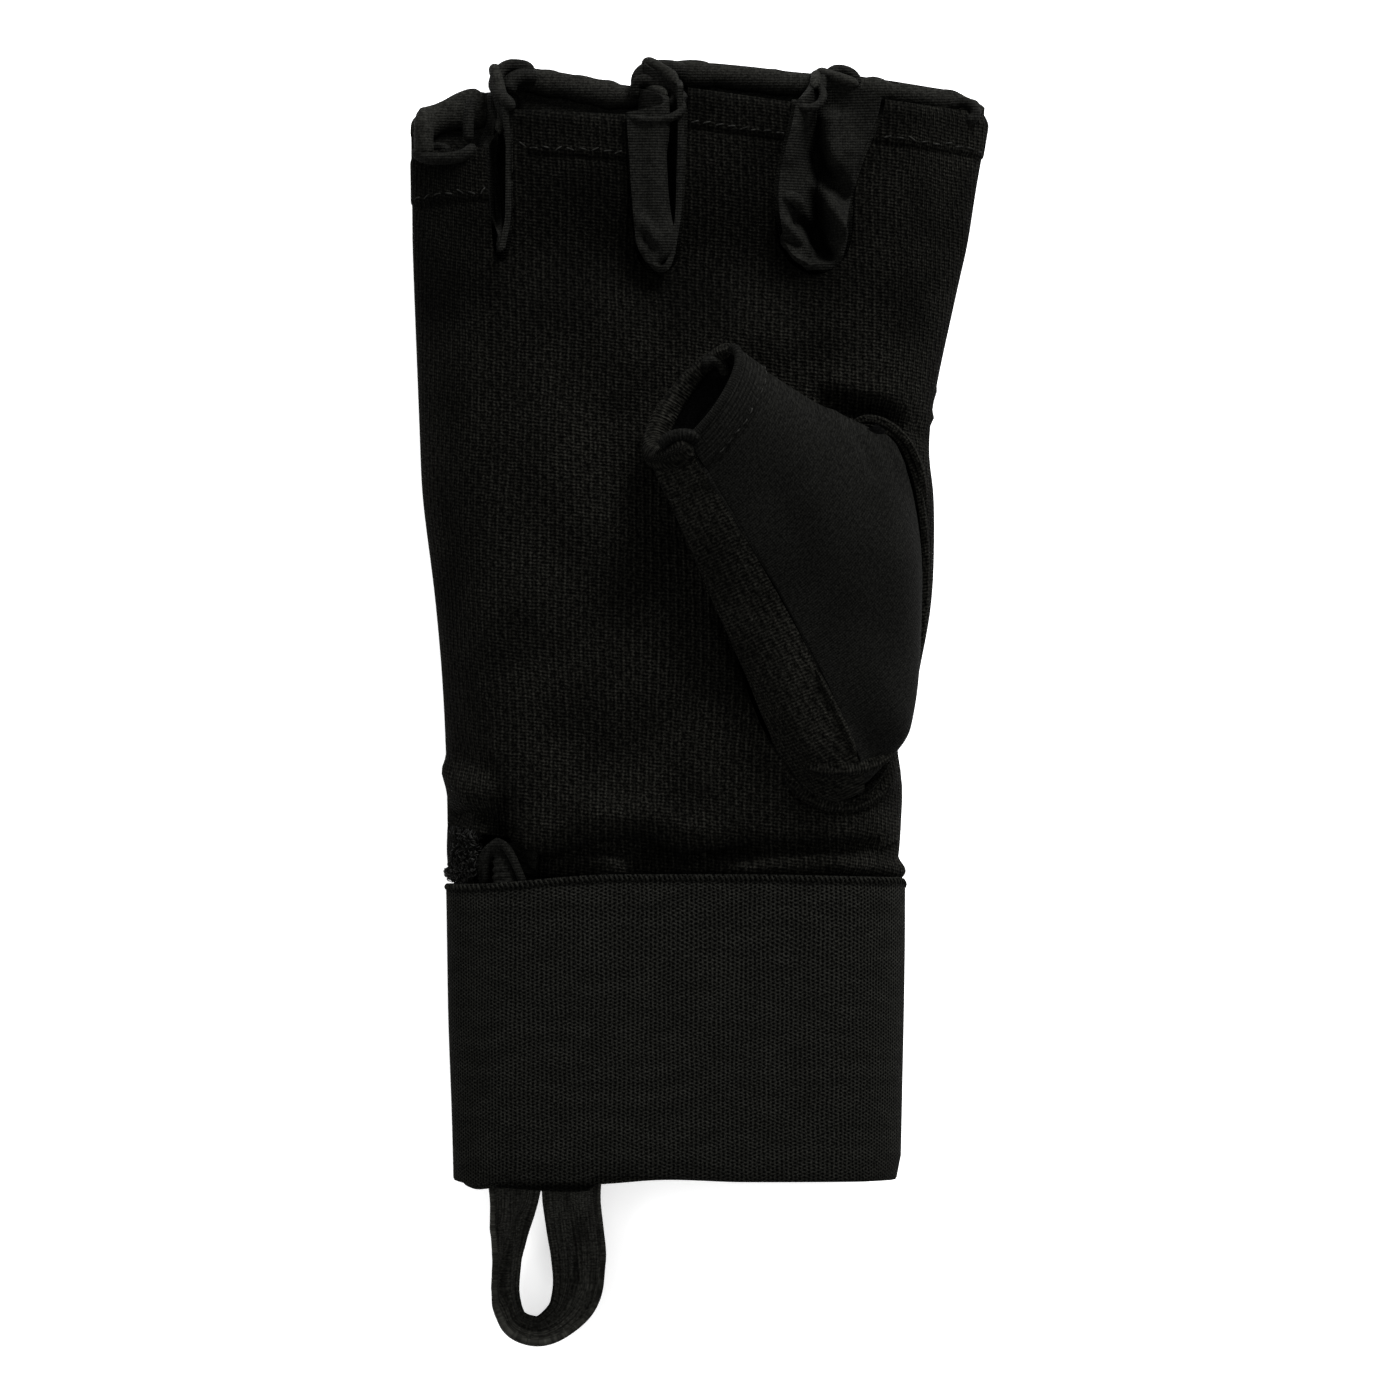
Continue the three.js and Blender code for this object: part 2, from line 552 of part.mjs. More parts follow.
// The stretch cloth between two fingers: a wall down the left finger, round the crotch and up the
// right finger. Each cross section bows from the palm panel's edge to the back panel's edge.
function fingerGusset(slot) {
  const sides = [...fingerRows.map((f) => -f).reverse(), 0, ...fingerRows];
  const points = sides.map((signed) => {
    const side = signed < 0 ? -1 : 1;
    const share = Math.abs(signed);
    const edge = slotEdge(slot, side, share);
    const backEdge = side < 0 ? slot.backLeft : slot.backRight;
    const bow = side < 0 ? slot.bowLeft : slot.bowRight;
    const open = Math.sqrt(1 - (1 - Math.min(share / crotchRound, 1)) ** 2);
    const palmY = edge.y + gusset.gap * (1 - 0.8 * open);
    const palmX = edge.x - side * gusset.gap * open;
    const palmZ = palmHeight(edge.x, edge.y) - palmKnit / 2;
    const middle = (slot.backLeft.x + slot.backRight.x) / 2;
    const backX = lerp(middle, backEdge.x - side * gusset.backGap, open);
    const backY = lerp(slot.backLowY + gusset.gap, backEdge.tipY, share);
    const backZ = backPoint(columnAt(backX, backY, backBluntness), backY).z + paddedBack * gusset.depth;
    const drop = (palmZ - backZ) * gusset.upright;
    const line = new THREE.CubicBezierCurve3(
      at(palmX, palmY, palmZ),
      at(palmX + bow.x * open, lerp(palmY, backY, gusset.upright), palmZ - drop + bow.z * open),
      at(backX, backY, backZ + drop + Math.max(0, bow.z) * gusset.backBulge * open),
      at(backX, backY, backZ),
    );
    return line.getPoints(gusset.cells);
  });
  const hemColumn = (i) => i < 2 || i > sides.length - 3;
  return clothWall({
    points,
    thickness: (i) => stretchCloth + (hemColumn(i) ? gusset.hem : 0),
    inward: 1,
  });
}

// A point on the outside of the thumb's tube. Along runs from the seam at its foot to its mouth.
function thumbPoint(angle, along) {
  const turn = radians(angle);
  const heading = radians(thumbMouth.heading);
  const across = at(Math.cos(heading), Math.sin(heading), 0);
  const outward = at(-Math.sin(heading), Math.cos(heading), 0);
  const seam = thumbSeamAt(angle);
  const foot = at(seam.x, seam.y, palmHeight(seam.x, seam.y) + sewGap);
  const rest = palmHeight(thumbMouth.x, thumbMouth.y) + thumbMouth.lift + thumbMouth.halfHeight;
  const lipBack = Math.sin(turn) < 0 ? thumbMouth.lowerLipForward : thumbMouth.upperLipBack;
  const lip = at(thumbMouth.x, thumbMouth.y, rest)
    .addScaledVector(across, thumbMouth.halfWidth * Math.cos(turn))
    .addScaledVector(outward, -lipBack * Math.sin(turn));
  lip.z += thumbMouth.halfHeight * Math.sin(turn);
  const upper = Math.max(0, Math.sin(turn));
  const under = Math.max(0, -Math.sin(turn));
  const span = foot.distanceTo(lip);
  const crowned = upper ** thumbRise.sharpness;
  const rise = lerp(thumbRise.side, thumbRise.crown, crowned) * (1 - thumbRise.underLess * under);
  const straight = THREE.MathUtils.smoothstep(-Math.cos(turn), -0.5, 0.5);
  const alongThumb = outward.clone().multiplyScalar(-thumbStraight.sleeve * span);
  const alongStrip = foot.clone().sub(lip).multiplyScalar(thumbStraight.knit).setZ(0);
  const line = new THREE.CubicBezierCurve3(
    foot,
    foot.clone().add(at(seam.leanX, seam.leanY, rise)),
    lip.clone().add(alongThumb.lerp(alongStrip, straight)),
    lip,
  );
  const point = line.getPoint(along);
  const floor = palmHeight(point.x, point.y) + lerp(sewGap, thumbMouth.lift, along);
  if (point.z < floor) point.z = floor;
  return point;
}

function thumbWall(from, to, cells, cloth) {
  const angleAt = (i, along) => {
    const sew = lerp(thumbSew.foot, thumbSew.mouth, along ** 3);
    const start = lerp(from.foot, from.mouth, along) + sew;
    return lerp(start, lerp(to.foot, to.mouth, along) - sew, i / cells);
  };
  const points = Array.from({ length: cells + 1 }, (_, i) =>
    thumbRings.map((along) => thumbPoint(angleAt(i, along), along)));
  const nearby = { angle: 1.5, along: 0.02 };
  const sewnEdge = (i, j, normal) => {
    if (i !== 0 && i !== cells) return normal;
    const along = clamp(thumbRings[j], nearby.along, 1 - nearby.along);
    const angle = angleAt(i, along);
    const around = thumbPoint(angle + nearby.angle, along).sub(thumbPoint(angle - nearby.angle, along));
    const forward = thumbPoint(angle, along + nearby.along).sub(thumbPoint(angle, along - nearby.along));
    return around.cross(forward).normalize();
  };
  return clothWall({
    points,
    thickness: (i, j) => cloth + (thumbRings[j] >= thumbHem ? hemExtra : 0),
    turn: sewnEdge,
    inward: 1,
  });
}

// A point of the wound strap: turns counts from its start on the back, wound over the palm from the
// left. Out is the distance from the cuff.
function woundPoint(turns, y, out) {
  const phase = ((turns % 1) + 1) % 1;
  const cuffY = Math.min(y, strap.cuffFace);
  const place = (p) => {
    const q = ((p % 1) + 1) % 1;
    if (q < 0.25) return backPoint(-q * 4, cuffY);
    if (q < 0.75) return palmPoint((q - 0.5) * 4, cuffY);
    return backPoint((1 - q) * 4, cuffY);
  };
  const nearby = 0.012;
  const along = place(phase + nearby).sub(place(phase - nearby)).setY(0).normalize();
  const point = place(phase);
  return at(point.x - along.z * out, y, point.z + along.x * out);
}

function woundStrip(from, to, cells, rowsAt, thick) {
  const points = Array.from({ length: cells + 1 }, (_, i) => {
    const turns = lerp(from, to, i / cells);
    return rowsAt(turns).map((y) => woundPoint(turns, y, strap.firstOffset + strap.pitch * turns + thick));
  });
  return clothWall({ points, thickness: () => thick });
}

function wristStrap() {
  return woundStrip(0, strap.turns, strapCells, (turns) => {
    const slip = turns < 1 ? bell((turns - strap.innerDropAt) / strap.innerDropReach) : 0;
    return strapRows.map((share) => lerp(strap.bottom, strap.top, share) - strap.innerDrop * slip);
  }, strapThick);
}

function hookTab() {
  const [bottom, top] = [strap.bottom + tab.inset, strap.top - tab.inset];
  const rows = [bottom, (bottom + top) / 2, top];
  return woundStrip(strap.turns + tab.gap, tab.end, tab.cells, () => rows, tab.thick);
}

// A ribbon along a path, with its width turned up by the tilt.
function pullLoop() {
  const stops = loopPath.map((row) => at(row.x, row.y, row.z));
  const curve = new THREE.CatmullRomCurve3(stops, false, "centripetal");
  const steps = 46;
  const widths = [-0.5, 0, 0.5];
  const points = Array.from({ length: steps + 1 }, (_, i) => {
    const t = i / steps;
    const k = t * (loopPath.length - 1);
    const row = Math.min(Math.floor(k), loopPath.length - 2);
    const tilt = radians(lerp(loopPath[row].tilt, loopPath[row + 1].tilt, k - row));
    const middle = curve.getPoint(t);
    const forward = curve.getTangent(t);
    const level = forward.clone().cross(at(0, 0, 1)).normalize();
    const upward = level.clone().cross(forward).normalize();
    const width = level.multiplyScalar(-Math.cos(tilt)).addScaledVector(upward, Math.sin(tilt));
    const face = forward.clone().cross(width).normalize();
    return widths.map((share) => middle.clone()
      .addScaledVector(width, share * tapeWidth)
      .addScaledVector(face, -tapeThick / 2));
  });
  return clothWall({ points, thickness: () => tapeThick, inward: 1 });
}

function loopPatch() {
  const points = Array.from({ length: patch.cells + 1 }, (_, i) => patchRows.map((y, j) => {
    const share = i / patch.cells;
    const column = lerp(-1, columnAt(patch.edgeX, y, palmBluntness), share);
    const underCut = lerp(vent.seamTop, vent.top, share * patch.topShare) - sewGap;
    return palmPoint(column, j === patchRows.length - 1 ? underCut : y);
  }));
  const turn = (i, j, normal) => (i === 0 ? normal.setZ(0).normalize() : normal);
  return clothWall({ points, thickness: () => patch.thick, turn });
}

function ventGore() {
  const tuck = palmKnit + 2 * sewGap;
  const points = Array.from({ length: gore.cells + 1 }, (_, i) => goreRows.map((y) => {
    const column = columnAt(lerp(gore.left, gore.right, i / gore.cells), y, palmBluntness);
    return palmPoint(column, y).addScaledVector(palmNormal(column, y), -tuck);
  }));
  return clothWall({ points, thickness: () => stretchCloth });
}

// A rolled edge: an oval section swept along the vent, just proud of the gore.
function ventBinding() {
  const sunk = binding.thick / 2 + binding.sink;
  const stops = bindingPath.map(({ x, y }) => at(x, y, palmHeight(x, y) - dentsAt(x, y) - sunk));
  const shape = new THREE.Shape();
  shape.absellipse(0, 0, binding.thick / 2, binding.width / 2, 0, 2 * Math.PI);
  return new THREE.ExtrudeGeometry(shape, {
    steps: binding.steps,
    curveSegments: binding.arcSegments,
    extrudePath: new THREE.CatmullRomCurve3(stops),
  });
}

// The padded block over the knuckles. Its upper side follows the back, and its foot is flat.
function knucklePad() {
  const [cellsX, cellsY] = pad.cells;
  const middle = at((pad.left + pad.right) / 2, (pad.bottom + pad.top) / 2, 0);
  const half = at((pad.right - pad.left) / 2, (pad.top - pad.bottom) / 2, 0);
  const cornered = (u, v) => {
    const [x, y] = [u * half.x, v * half.y];
    const [overX, overY] = [Math.abs(x) - half.x + pad.corner, Math.abs(y) - half.y + pad.corner];
    if (overX <= 0 || overY <= 0) return [x, y];
    const shrink = Math.max(overX, overY) / Math.hypot(overX, overY);
    return [x - Math.sign(x) * overX * (1 - shrink), y - Math.sign(y) * overY * (1 - shrink)];
  };
  const reach = (Math.PI / 2) * padCrowding;
  const spread = (k, cells) => Math.sin((2 * k / cells - 1) * reach) / Math.sin(reach);
  const heights = [];
  const points = Array.from({ length: cellsX + 1 }, (_, i) => {
    heights.push([]);
    return Array.from({ length: cellsY + 1 }, (__, j) => {
      const [overX, overY] = cornered(spread(i, cellsX), spread(j, cellsY));
      const [x, y] = [middle.x + overX, middle.y + overY];
      const z = backPoint(columnAt(x, y, backBluntness), y).z - pad.gap;
      const rim = i === 0 || j === 0 || i === cellsX || j === cellsY;
      heights[i].push(rim ? pad.edge : z);
      return at(x, y, z);
    });
  });
  return clothWall({ points, thickness: (i, j) => heights[i][j], turn: () => at(0, 0, 1) });
}

const wrap = new THREE.Group();
function addPiece(name, geometry, look) {
  const mesh = new THREE.Mesh(geometry, new THREE.MeshStandardMaterial(look));
  mesh.name = name;
  wrap.add(mesh);
}

addPiece("palm_panel", palmPanel(), knitBlack);
addPiece("back_panel", backPanel(), smoothBlack);
addPiece("knuckle_pad", knucklePad(), smoothBlack);
slots.forEach((slot) => addPiece(`gusset_${slot.name}`, fingerGusset(slot), smoothBlack));
const sleeveFrom = { foot: thumbKnitTo.foot - 360, mouth: thumbKnitTo.mouth - 360 };
addPiece("thumb_sleeve", thumbWall(sleeveFrom, thumbKnitFrom, thumbCells.sleeve, thumbCloth), smoothBlack);
addPiece("thumb_knit", thumbWall(thumbKnitFrom, thumbKnitTo, thumbCells.knit, palmKnit), knitBlack);
addPiece("wrist_strap", wristStrap(), elasticBlack);
addPiece("hook_tab", hookTab(), fuzzyBlack);
addPiece("loop_patch", loopPatch(), fuzzyBlack);
addPiece("vent_gore", ventGore(), smoothBlack);
addPiece("vent_binding", ventBinding(), smoothBlack);
addPiece("pull_loop", pullLoop(), smoothBlack);

// Settle the part on the resting plane with its outline centred on the origin.
const outline = new THREE.Box3().setFromObject(wrap);
const middle = outline.getCenter(at(0, 0, 0));
wrap.children.forEach((mesh) => mesh.geometry.translate(-middle.x, -middle.y, -outline.min.z));

export default wrap;
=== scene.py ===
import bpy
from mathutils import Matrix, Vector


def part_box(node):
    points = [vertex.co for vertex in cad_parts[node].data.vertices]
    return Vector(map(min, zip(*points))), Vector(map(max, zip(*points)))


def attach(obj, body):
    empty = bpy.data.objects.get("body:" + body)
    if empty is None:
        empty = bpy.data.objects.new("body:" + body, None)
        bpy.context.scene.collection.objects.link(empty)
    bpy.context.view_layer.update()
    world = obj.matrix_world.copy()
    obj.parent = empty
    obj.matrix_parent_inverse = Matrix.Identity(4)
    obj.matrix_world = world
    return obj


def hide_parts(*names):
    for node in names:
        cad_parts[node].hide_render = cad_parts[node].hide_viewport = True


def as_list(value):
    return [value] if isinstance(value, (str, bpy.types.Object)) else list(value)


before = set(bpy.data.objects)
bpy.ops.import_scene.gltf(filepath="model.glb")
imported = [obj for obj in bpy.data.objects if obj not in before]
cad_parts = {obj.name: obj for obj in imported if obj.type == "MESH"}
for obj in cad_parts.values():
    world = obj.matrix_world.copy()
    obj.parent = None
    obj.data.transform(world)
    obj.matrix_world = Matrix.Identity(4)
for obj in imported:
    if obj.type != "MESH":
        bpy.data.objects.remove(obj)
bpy.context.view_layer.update()        # bodies, nodes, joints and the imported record

import math
import bpy
import bmesh
from mathutils import Vector, noise
from mathutils.bvhtree import BVHTree
from mathutils.kdtree import KDTree

# Gel hand wrap, palm up. Settings are in millimetres, meshes in metres.
mm = 0.001
upward = Vector((0, 0, 1))
noise.seed_set(3)  # without it the pile's loops would differ from run to run
for spare in ("Cube", "Light", "Camera"):
    if spare in bpy.data.objects:
        bpy.data.objects.remove(bpy.data.objects[spare])


# Selecting, modifiers and small sums

def makeActive(thing):
    for other in list(bpy.context.selected_objects):
        other.select_set(False)
    thing.select_set(True)
    bpy.context.view_layer.objects.active = thing


def editMesh(piece, *steps):
    makeActive(piece)
    bpy.ops.object.mode_set(mode="EDIT")
    bpy.ops.mesh.select_all(action="SELECT")
    for operator, settings in steps:
        operator(**settings)
    bpy.ops.object.mode_set(mode="OBJECT")


def applyModifier(piece, kind, **settings):
    makeActive(piece)
    modifier = piece.modifiers.new(kind.title(), kind)
    for key, value in settings.items():
        setattr(modifier, key, value)
    bpy.ops.object.modifier_apply(modifier=modifier.name)


def mix(low, high, share):
    return low + (high - low) * share


def ease(low, high, value):
    share = min(1, max(0, (value - low) / (high - low)))
    return share * share * (3 - 2 * share)


def bell(value):
    return math.exp(-value * value)


def placed(points):
    return [Vector(point) * mm for point in points]


def addObject(name, data):
    thing = bpy.data.objects.new(name, data)
    bpy.context.scene.collection.objects.link(thing)
    return thing


def newPiece(name, points, faces, uvs=None):
    mesh = bpy.data.meshes.new(name)
    mesh.from_pydata(points, [], faces)
    mesh.validate()
    piece = addObject(name, mesh)
    if uvs:
        layer = mesh.uv_layers.new(name="cloth")
        for loop in mesh.loops:
            layer.data[loop.index].uv = uvs[loop.vertex_index]
    return piece


# Sheets of cloth: the outer face of a node's wall, smoothed, shaped and given its thickness again

clothSettings = {"weld": 0.01, "behind": 0.05, "rimDepth": 1.45}


def clothFrom(node, name, outward, levels=2, fold=60, thickness=None, halved=False):
    piece = addObject(name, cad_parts[node].data.copy())
    piece.data.materials.clear()
    quads = {"face_threshold": math.pi, "shape_threshold": math.pi, "topology_influence": 2}
    editMesh(piece, (bpy.ops.mesh.remove_doubles, {"threshold": clothSettings["weld"] * mm}),
             (bpy.ops.mesh.tris_convert_to_quads, quads))
    sheet = bmesh.new()
    sheet.from_mesh(piece.data)
    left = set(sheet.faces)
    if thickness:  # where the cloth turns sharply, its rims are known by the depth behind them
        solid = BVHTree.FromBMesh(sheet)
        for face in sheet.faces:
            origin = face.calc_center_median() - face.normal * clothSettings["behind"] * mm
            reach = solid.ray_cast(origin, -face.normal)[3]
            if reach is None or reach > clothSettings["rimDepth"] * thickness * mm:
                left.remove(face)
    islands = []
    while left:  # faces that no sharp fold parts belong together
        start = left.pop()
        island, queue = [start], [start]
        while queue:
            face = queue.pop()
            for edge in face.edges:
                for other in edge.link_faces:
                    if other in left and face.normal.angle(other.normal, 0) < math.radians(fold):
                        left.remove(other)
                        island.append(other)
                        queue.append(other)
        score = sum(f.calc_area() * f.normal.dot(outward(f.calc_center_median())) for f in island)
        islands.append((score, set(island)))
    kept = max(islands, key=lambda pair: pair[0])[1]
    if halved:  # the other half of a cloth that is folded in two shares most edges with the first
        first = kept
        joins = [sum(1 for f in island for e in f.edges if first.intersection(e.link_faces)) *
                 (not island <= first) for _, island in islands]
        kept = first | islands[joins.index(max(joins))][1]
    bmesh.ops.delete(sheet, geom=[f for f in sheet.faces if f not in kept], context="FACES")
    sheet.to_mesh(piece.data)
    sheet.free()
    print("cloth", name, len(piece.data.polygons), "faces")
    if levels:
        refine(piece, levels)
    return piece


def refine(piece, levels, rounds=2):
    mesh = piece.data
    goal = [vertex.co.copy() for vertex in mesh.vertices]
    for _ in range(rounds):  # the smooth surface is drawn back onto the points it started from
        modifier = piece.modifiers.new("Fit", "SUBSURF")
        modifier.levels = modifier.render_levels = 1
        modifier.boundary_smooth = "PRESERVE_CORNERS"
        shown = piece.evaluated_get(bpy.context.evaluated_depsgraph_get()).data
        limit = [shown.vertices[k].co.copy() for k in range(len(goal))]
        piece.modifiers.remove(modifier)
        for vertex, want, reached in zip(mesh.vertices, goal, limit):
            vertex.co += want - reached
        mesh.update()
    applyModifier(piece, "SUBSURF", levels=levels, render_levels=levels,
                  boundary_smooth="PRESERVE_CORNERS")


def sculpt(piece, height):
    mesh = piece.data
    moves = [vertex.normal * (height(vertex.co / mm) * mm) for vertex in mesh.vertices]
    for vertex, move in zip(mesh.vertices, moves):
        vertex.co += move
    mesh.update()


def push(piece, move):
    for vertex in piece.data.vertices:
        vertex.co += move(vertex.co / mm) * mm
    piece.data.update()


def divide(piece, inside):
    # smaller faces where a fold or a hem needs them
    sheet = bmesh.new()
    sheet.from_mesh(piece.data)
    chosen = [face for face in sheet.faces if inside(face.calc_center_median() / mm)]
    edges = {edge for face in chosen for edge in face.edges}
    bmesh.ops.subdivide_edges(sheet, edges=list(edges), cuts=1, use_grid_fill=True)
    sheet.to_mesh(piece.data)
    sheet.free()


def nearLine(line, co):
    # distance in plan from a line of (x, y) points, the share of the way along it, and the side
    best, total = (1e9, 0, 0), 0
    lengths = [math.hypot(b[0] - a[0], b[1] - a[1]) for a, b in zip(line, line[1:])]
    for a, b, length in zip(line, line[1:], lengths):
        dx, dy = (b[0] - a[0]) / length, (b[1] - a[1]) / length
        along = min(length, max(0, (co.x - a[0]) * dx + (co.y - a[1]) * dy))
        offX, offY = co.x - a[0] - dx * along, co.y - a[1] - dy * along
        far = math.hypot(offX, offY)
        if far < best[0]:
            best = (far, (total + along) / sum(lengths), dx * offY - dy * offX)
        total += length
    return best


def foldHeight(folds, co):
    # ridges and valleys: each a line in plan, a half width and a height that fades out at both ends
    height = 0
    for line, width, high in folds:
        far, share, _ = nearLine(line, co)
        if far < 3 * width:
            height += high * bell(far / width) * min(1, 5 * min(share, 1 - share) + 0.15)
    return height


def layOutUv(piece, place):
    layer = piece.data.uv_layers.new(name="cloth")
    for loop in piece.data.loops:
        layer.data[loop.index].uv = place(piece.data.vertices[loop.vertex_index].co / mm)


def thicken(piece, thickness, roundness=0.45, even=True, lining=None):
    # for the thumb the second material is a darker lining that paints the shade inside it
    if lining:  # the inner face gets a second material
        piece.data.materials.append(None)
        piece.data.materials.append(lining)
    applyModifier(piece, "SOLIDIFY", thickness=thickness * mm, offset=-1, use_even_offset=even,
                  material_offset=1 if lining else 0)
    applyModifier(piece, "BEVEL", width=thickness * roundness * mm, segments=2,
                  limit_method="ANGLE", angle_limit=math.radians(65))


def smoothShade(piece, angle=50):
    makeActive(piece)
    bpy.ops.object.shade_smooth_by_angle(angle=math.radians(angle))


def faceOutward(piece):
    editMesh(piece, (bpy.ops.mesh.normals_make_consistent, {"inside": False}))


def rimRuns(piece, corner=48):
    # the open edges of a sheet, cut at their sharp corners into runs of points
    sheet = bmesh.new()
    sheet.from_mesh(piece.data)
    following = {}
    for edge in sheet.edges:
        if edge.is_boundary:
            loop = edge.link_loops[0]
            following[loop.vert.index] = loop.link_loop_next.vert.index
    place = {v.index: v.co.copy() for v in sheet.verts}
    sheet.free()
    runs = []
    while following:
        start = next(iter(following))
        loop = [start]
        while following.get(loop[-1]) is not None and following[loop[-1]] != start:
            loop.append(following.pop(loop[-1]))
        following.pop(loop[-1], None)
        count = len(loop)
        corners = []
        for k in range(count):
            before, here, after = (place[loop[(k + step) % count]] for step in (-1, 0, 1))
            if (here - before).angle(after - here, 0) > math.radians(corner):
                corners.append(k)
        if not corners:
            runs.append([place[n] for n in loop] + [place[loop[0]]])
            continue
        for first, last in zip(corners, corners[1:] + [corners[0] + count]):
            runs.append([place[loop[k % count]] for k in range(first, last + 1)])
    return runs


def middleOf(run):
    return run[len(run) // 2] / mm


def evenly(path, step):
    # the same path with points a step apart
    lengths = [0]
    for a, b in zip(path, path[1:]):
        lengths.append(lengths[-1] + (b - a).length)
    count = max(2, round(lengths[-1] / (step * mm)) + 1)
    points, k = [], 0
    for n in range(count):
        want = lengths[-1] * n / (count - 1)
        while k < len(path) - 2 and lengths[k + 1] < want:
            k += 1
        span = lengths[k + 1] - lengths[k]
        points.append(path[k].lerp(path[k + 1], (want - lengths[k]) / span if span else 0))
    return points


def smoothPath(path, rounds=4):
    for _ in range(rounds):
        inner = [(a + 2 * b + c) / 4 for a, b, c in zip(path, path[1:], path[2:])]
        path = [path[0]] + inner + [path[-1]]
    return path


def softPath(path, step, rounds=4):
    return smoothPath(evenly(path, step), rounds)


def treeOf(points):
    tree = KDTree(len(points))
    for k, point in enumerate(points):
        tree.insert(point, k)
    tree.balance()
    return tree


def distanceFrom(paths, step=0.4):
    tree = treeOf([point for path in paths for point in evenly(path, step)])
    return lambda co: tree.find(co * mm)[2] / mm


def tapePlace(run, step=0.3):
    # distance from a tape's edge, and the way along it
    tree = treeOf(evenly(run, step))

    def place(co):
        _, k, far = tree.find(co * mm)
        return far / mm, k * step

    return place


def surfaceOf(piece):
    return BVHTree.FromObject(piece, bpy.context.evaluated_depsgraph_get())


def shifted(path, surface, across):
    # a path on a surface, moved sideways along it
    moved = []
    for k, point in enumerate(path):
        ahead = path[min(k + 1, len(path) - 1)] - path[max(k - 1, 0)]
        normal = surface.find_nearest(point)[1]
        side = normal.cross(ahead).normalized()
        moved.append(surface.find_nearest(point + side * across * mm)[0])
    return moved


def tubeFaces(base, rings, sides):
    # quads between the rings of a tube, and a face at either end
    faces = []
    for ring in range(rings - 1):
        for m in range(sides):
            a, b = base + ring * sides + m, base + ring * sides + (m + 1) % sides
            faces.append((a, b, b + sides, a + sides))
    faces.append(tuple(base + m for m in range(sides))[::-1])
    faces.append(tuple(base + (rings - 1) * sides + m for m in range(sides)))
    return faces


def rolled(name, path, width, height, material, tip=0.05, up=upward):
    # a soft tube along a path, drawn in at both ends; width and height may be lists along it
    count, sides, uvWidth, least = len(path), 14, 6, 0.04
    points, uvs, run = [], [], 0
    for k, point in enumerate(path):
        ahead = path[min(k + 1, count - 1)] - path[max(k - 1, 0)]
        side = ahead.cross(up).normalized()
        lift = side.cross(ahead).normalized()
        share = k / (count - 1)
        near = min(1, min(share, 1 - share) / tip)
        size = math.sqrt(max(least, 1 - (1 - near) ** 2))
        wide = (width[k] if isinstance(width, list) else width) * size
        high = (height[k] if isinstance(height, list) else height) * size
        run += (point - path[k - 1]).length / mm if k else 0
        for n in range(sides):
            turn = 2 * math.pi * n / sides
            across, rise = wide / 2 * math.cos(turn), high / 2 * math.sin(turn)
            points.append(point + side * across * mm + lift * rise * mm)
            uvs.append((n / sides * uvWidth, run))
    piece = newPiece(name, points, tubeFaces(0, count, sides), uvs)
    faceOutward(piece)
    smoothShade(piece)
    return finishPiece(piece, material)


def stitches(name, paths, surface, slot, material=None, pitch=2.6, length=1.9, thick=0.34, lift=0.12,
             turn=0.0):
    # short arched threads that dive into the cloth at both ends, along the path or turned to it
    points, faces = [], []
    step, dive, rings, sides = 0.25, 0.22, 5, 5
    turned = math.radians(turn)
    for path in paths:
        fine = evenly(path, step)
        whole = (len(fine) - 1) * step
        for n in range(int(whole // pitch)):
            k = (n + 0.5) * pitch / step
            low = min(max(int(k), 0), len(fine) - 2)
            middle = fine[low].lerp(fine[low + 1], k - low)
            normal = surface.find_nearest(middle)[1]
            ahead = (fine[low + 1] - fine[low]).normalized()
            ahead = ahead * math.cos(turned) + normal.cross(ahead) * math.sin(turned)
            faces += [face[::-1] for face in tubeFaces(len(points), rings, sides)]
            for ring in range(rings):
                share = ring / (rings - 1)
                found, normal = surface.find_nearest(middle + ahead * (share - 0.5) * length * mm)[:2]
                side = ahead.cross(normal).normalized()
                arch = math.sin(math.pi * share)
                centre = found + normal * (lift * arch - dive * (1 - arch)) * mm
                for m in range(sides):
                    way = 2 * math.pi * m / sides
                    out = side * math.cos(way) + normal * math.sin(way)
                    points.append(centre + out * thick / 2 * mm)
    piece = newPiece(name, points, faces)
    smoothShade(piece, 80)
    return finishPiece(piece, material or threadBlack, slot=slot)


# Materials: woven and knitted patterns are node groups that give a height in millimetres and a shade

def isNumber(value):
    return isinstance(value, (int, float))


def calc(operation, *values):
    tree = next(value for value in values if not isNumber(value)).id_data
    node = tree.nodes.new("ShaderNodeMath")
    node.operation = operation
    for socket, value in zip(node.inputs, values):
        if isNumber(value):
            socket.default_value = value
        else:
            tree.links.new(value, socket)
    return node.outputs[0]


def times(first, *others):
    for other in others:
        first = calc("MULTIPLY", first, other)
    return first


def plus(first, *parts):
    # each part is a value and its weight
    for value, weight in parts:
        first = calc("MULTIPLY_ADD", value, weight, first)
    return first


def minus(first, other):
    return calc("SUBTRACT", first, other)


def over(first, other):
    return calc("DIVIDE", first, other)


def wave(value, kind="SINE"):
    return calc(kind, times(value, 2 * math.pi))


def ramp(value, low, high, start=0.0, end=1.0):
    node = value.id_data.nodes.new("ShaderNodeMapRange")
    node.interpolation_type = "SMOOTHSTEP"
    value.id_data.links.new(value, node.inputs["Value"])
    for label, number in (("From Min", low), ("From Max", high), ("To Min", start), ("To Max", end)):
        node.inputs[label].default_value = number
    return node.outputs["Result"]


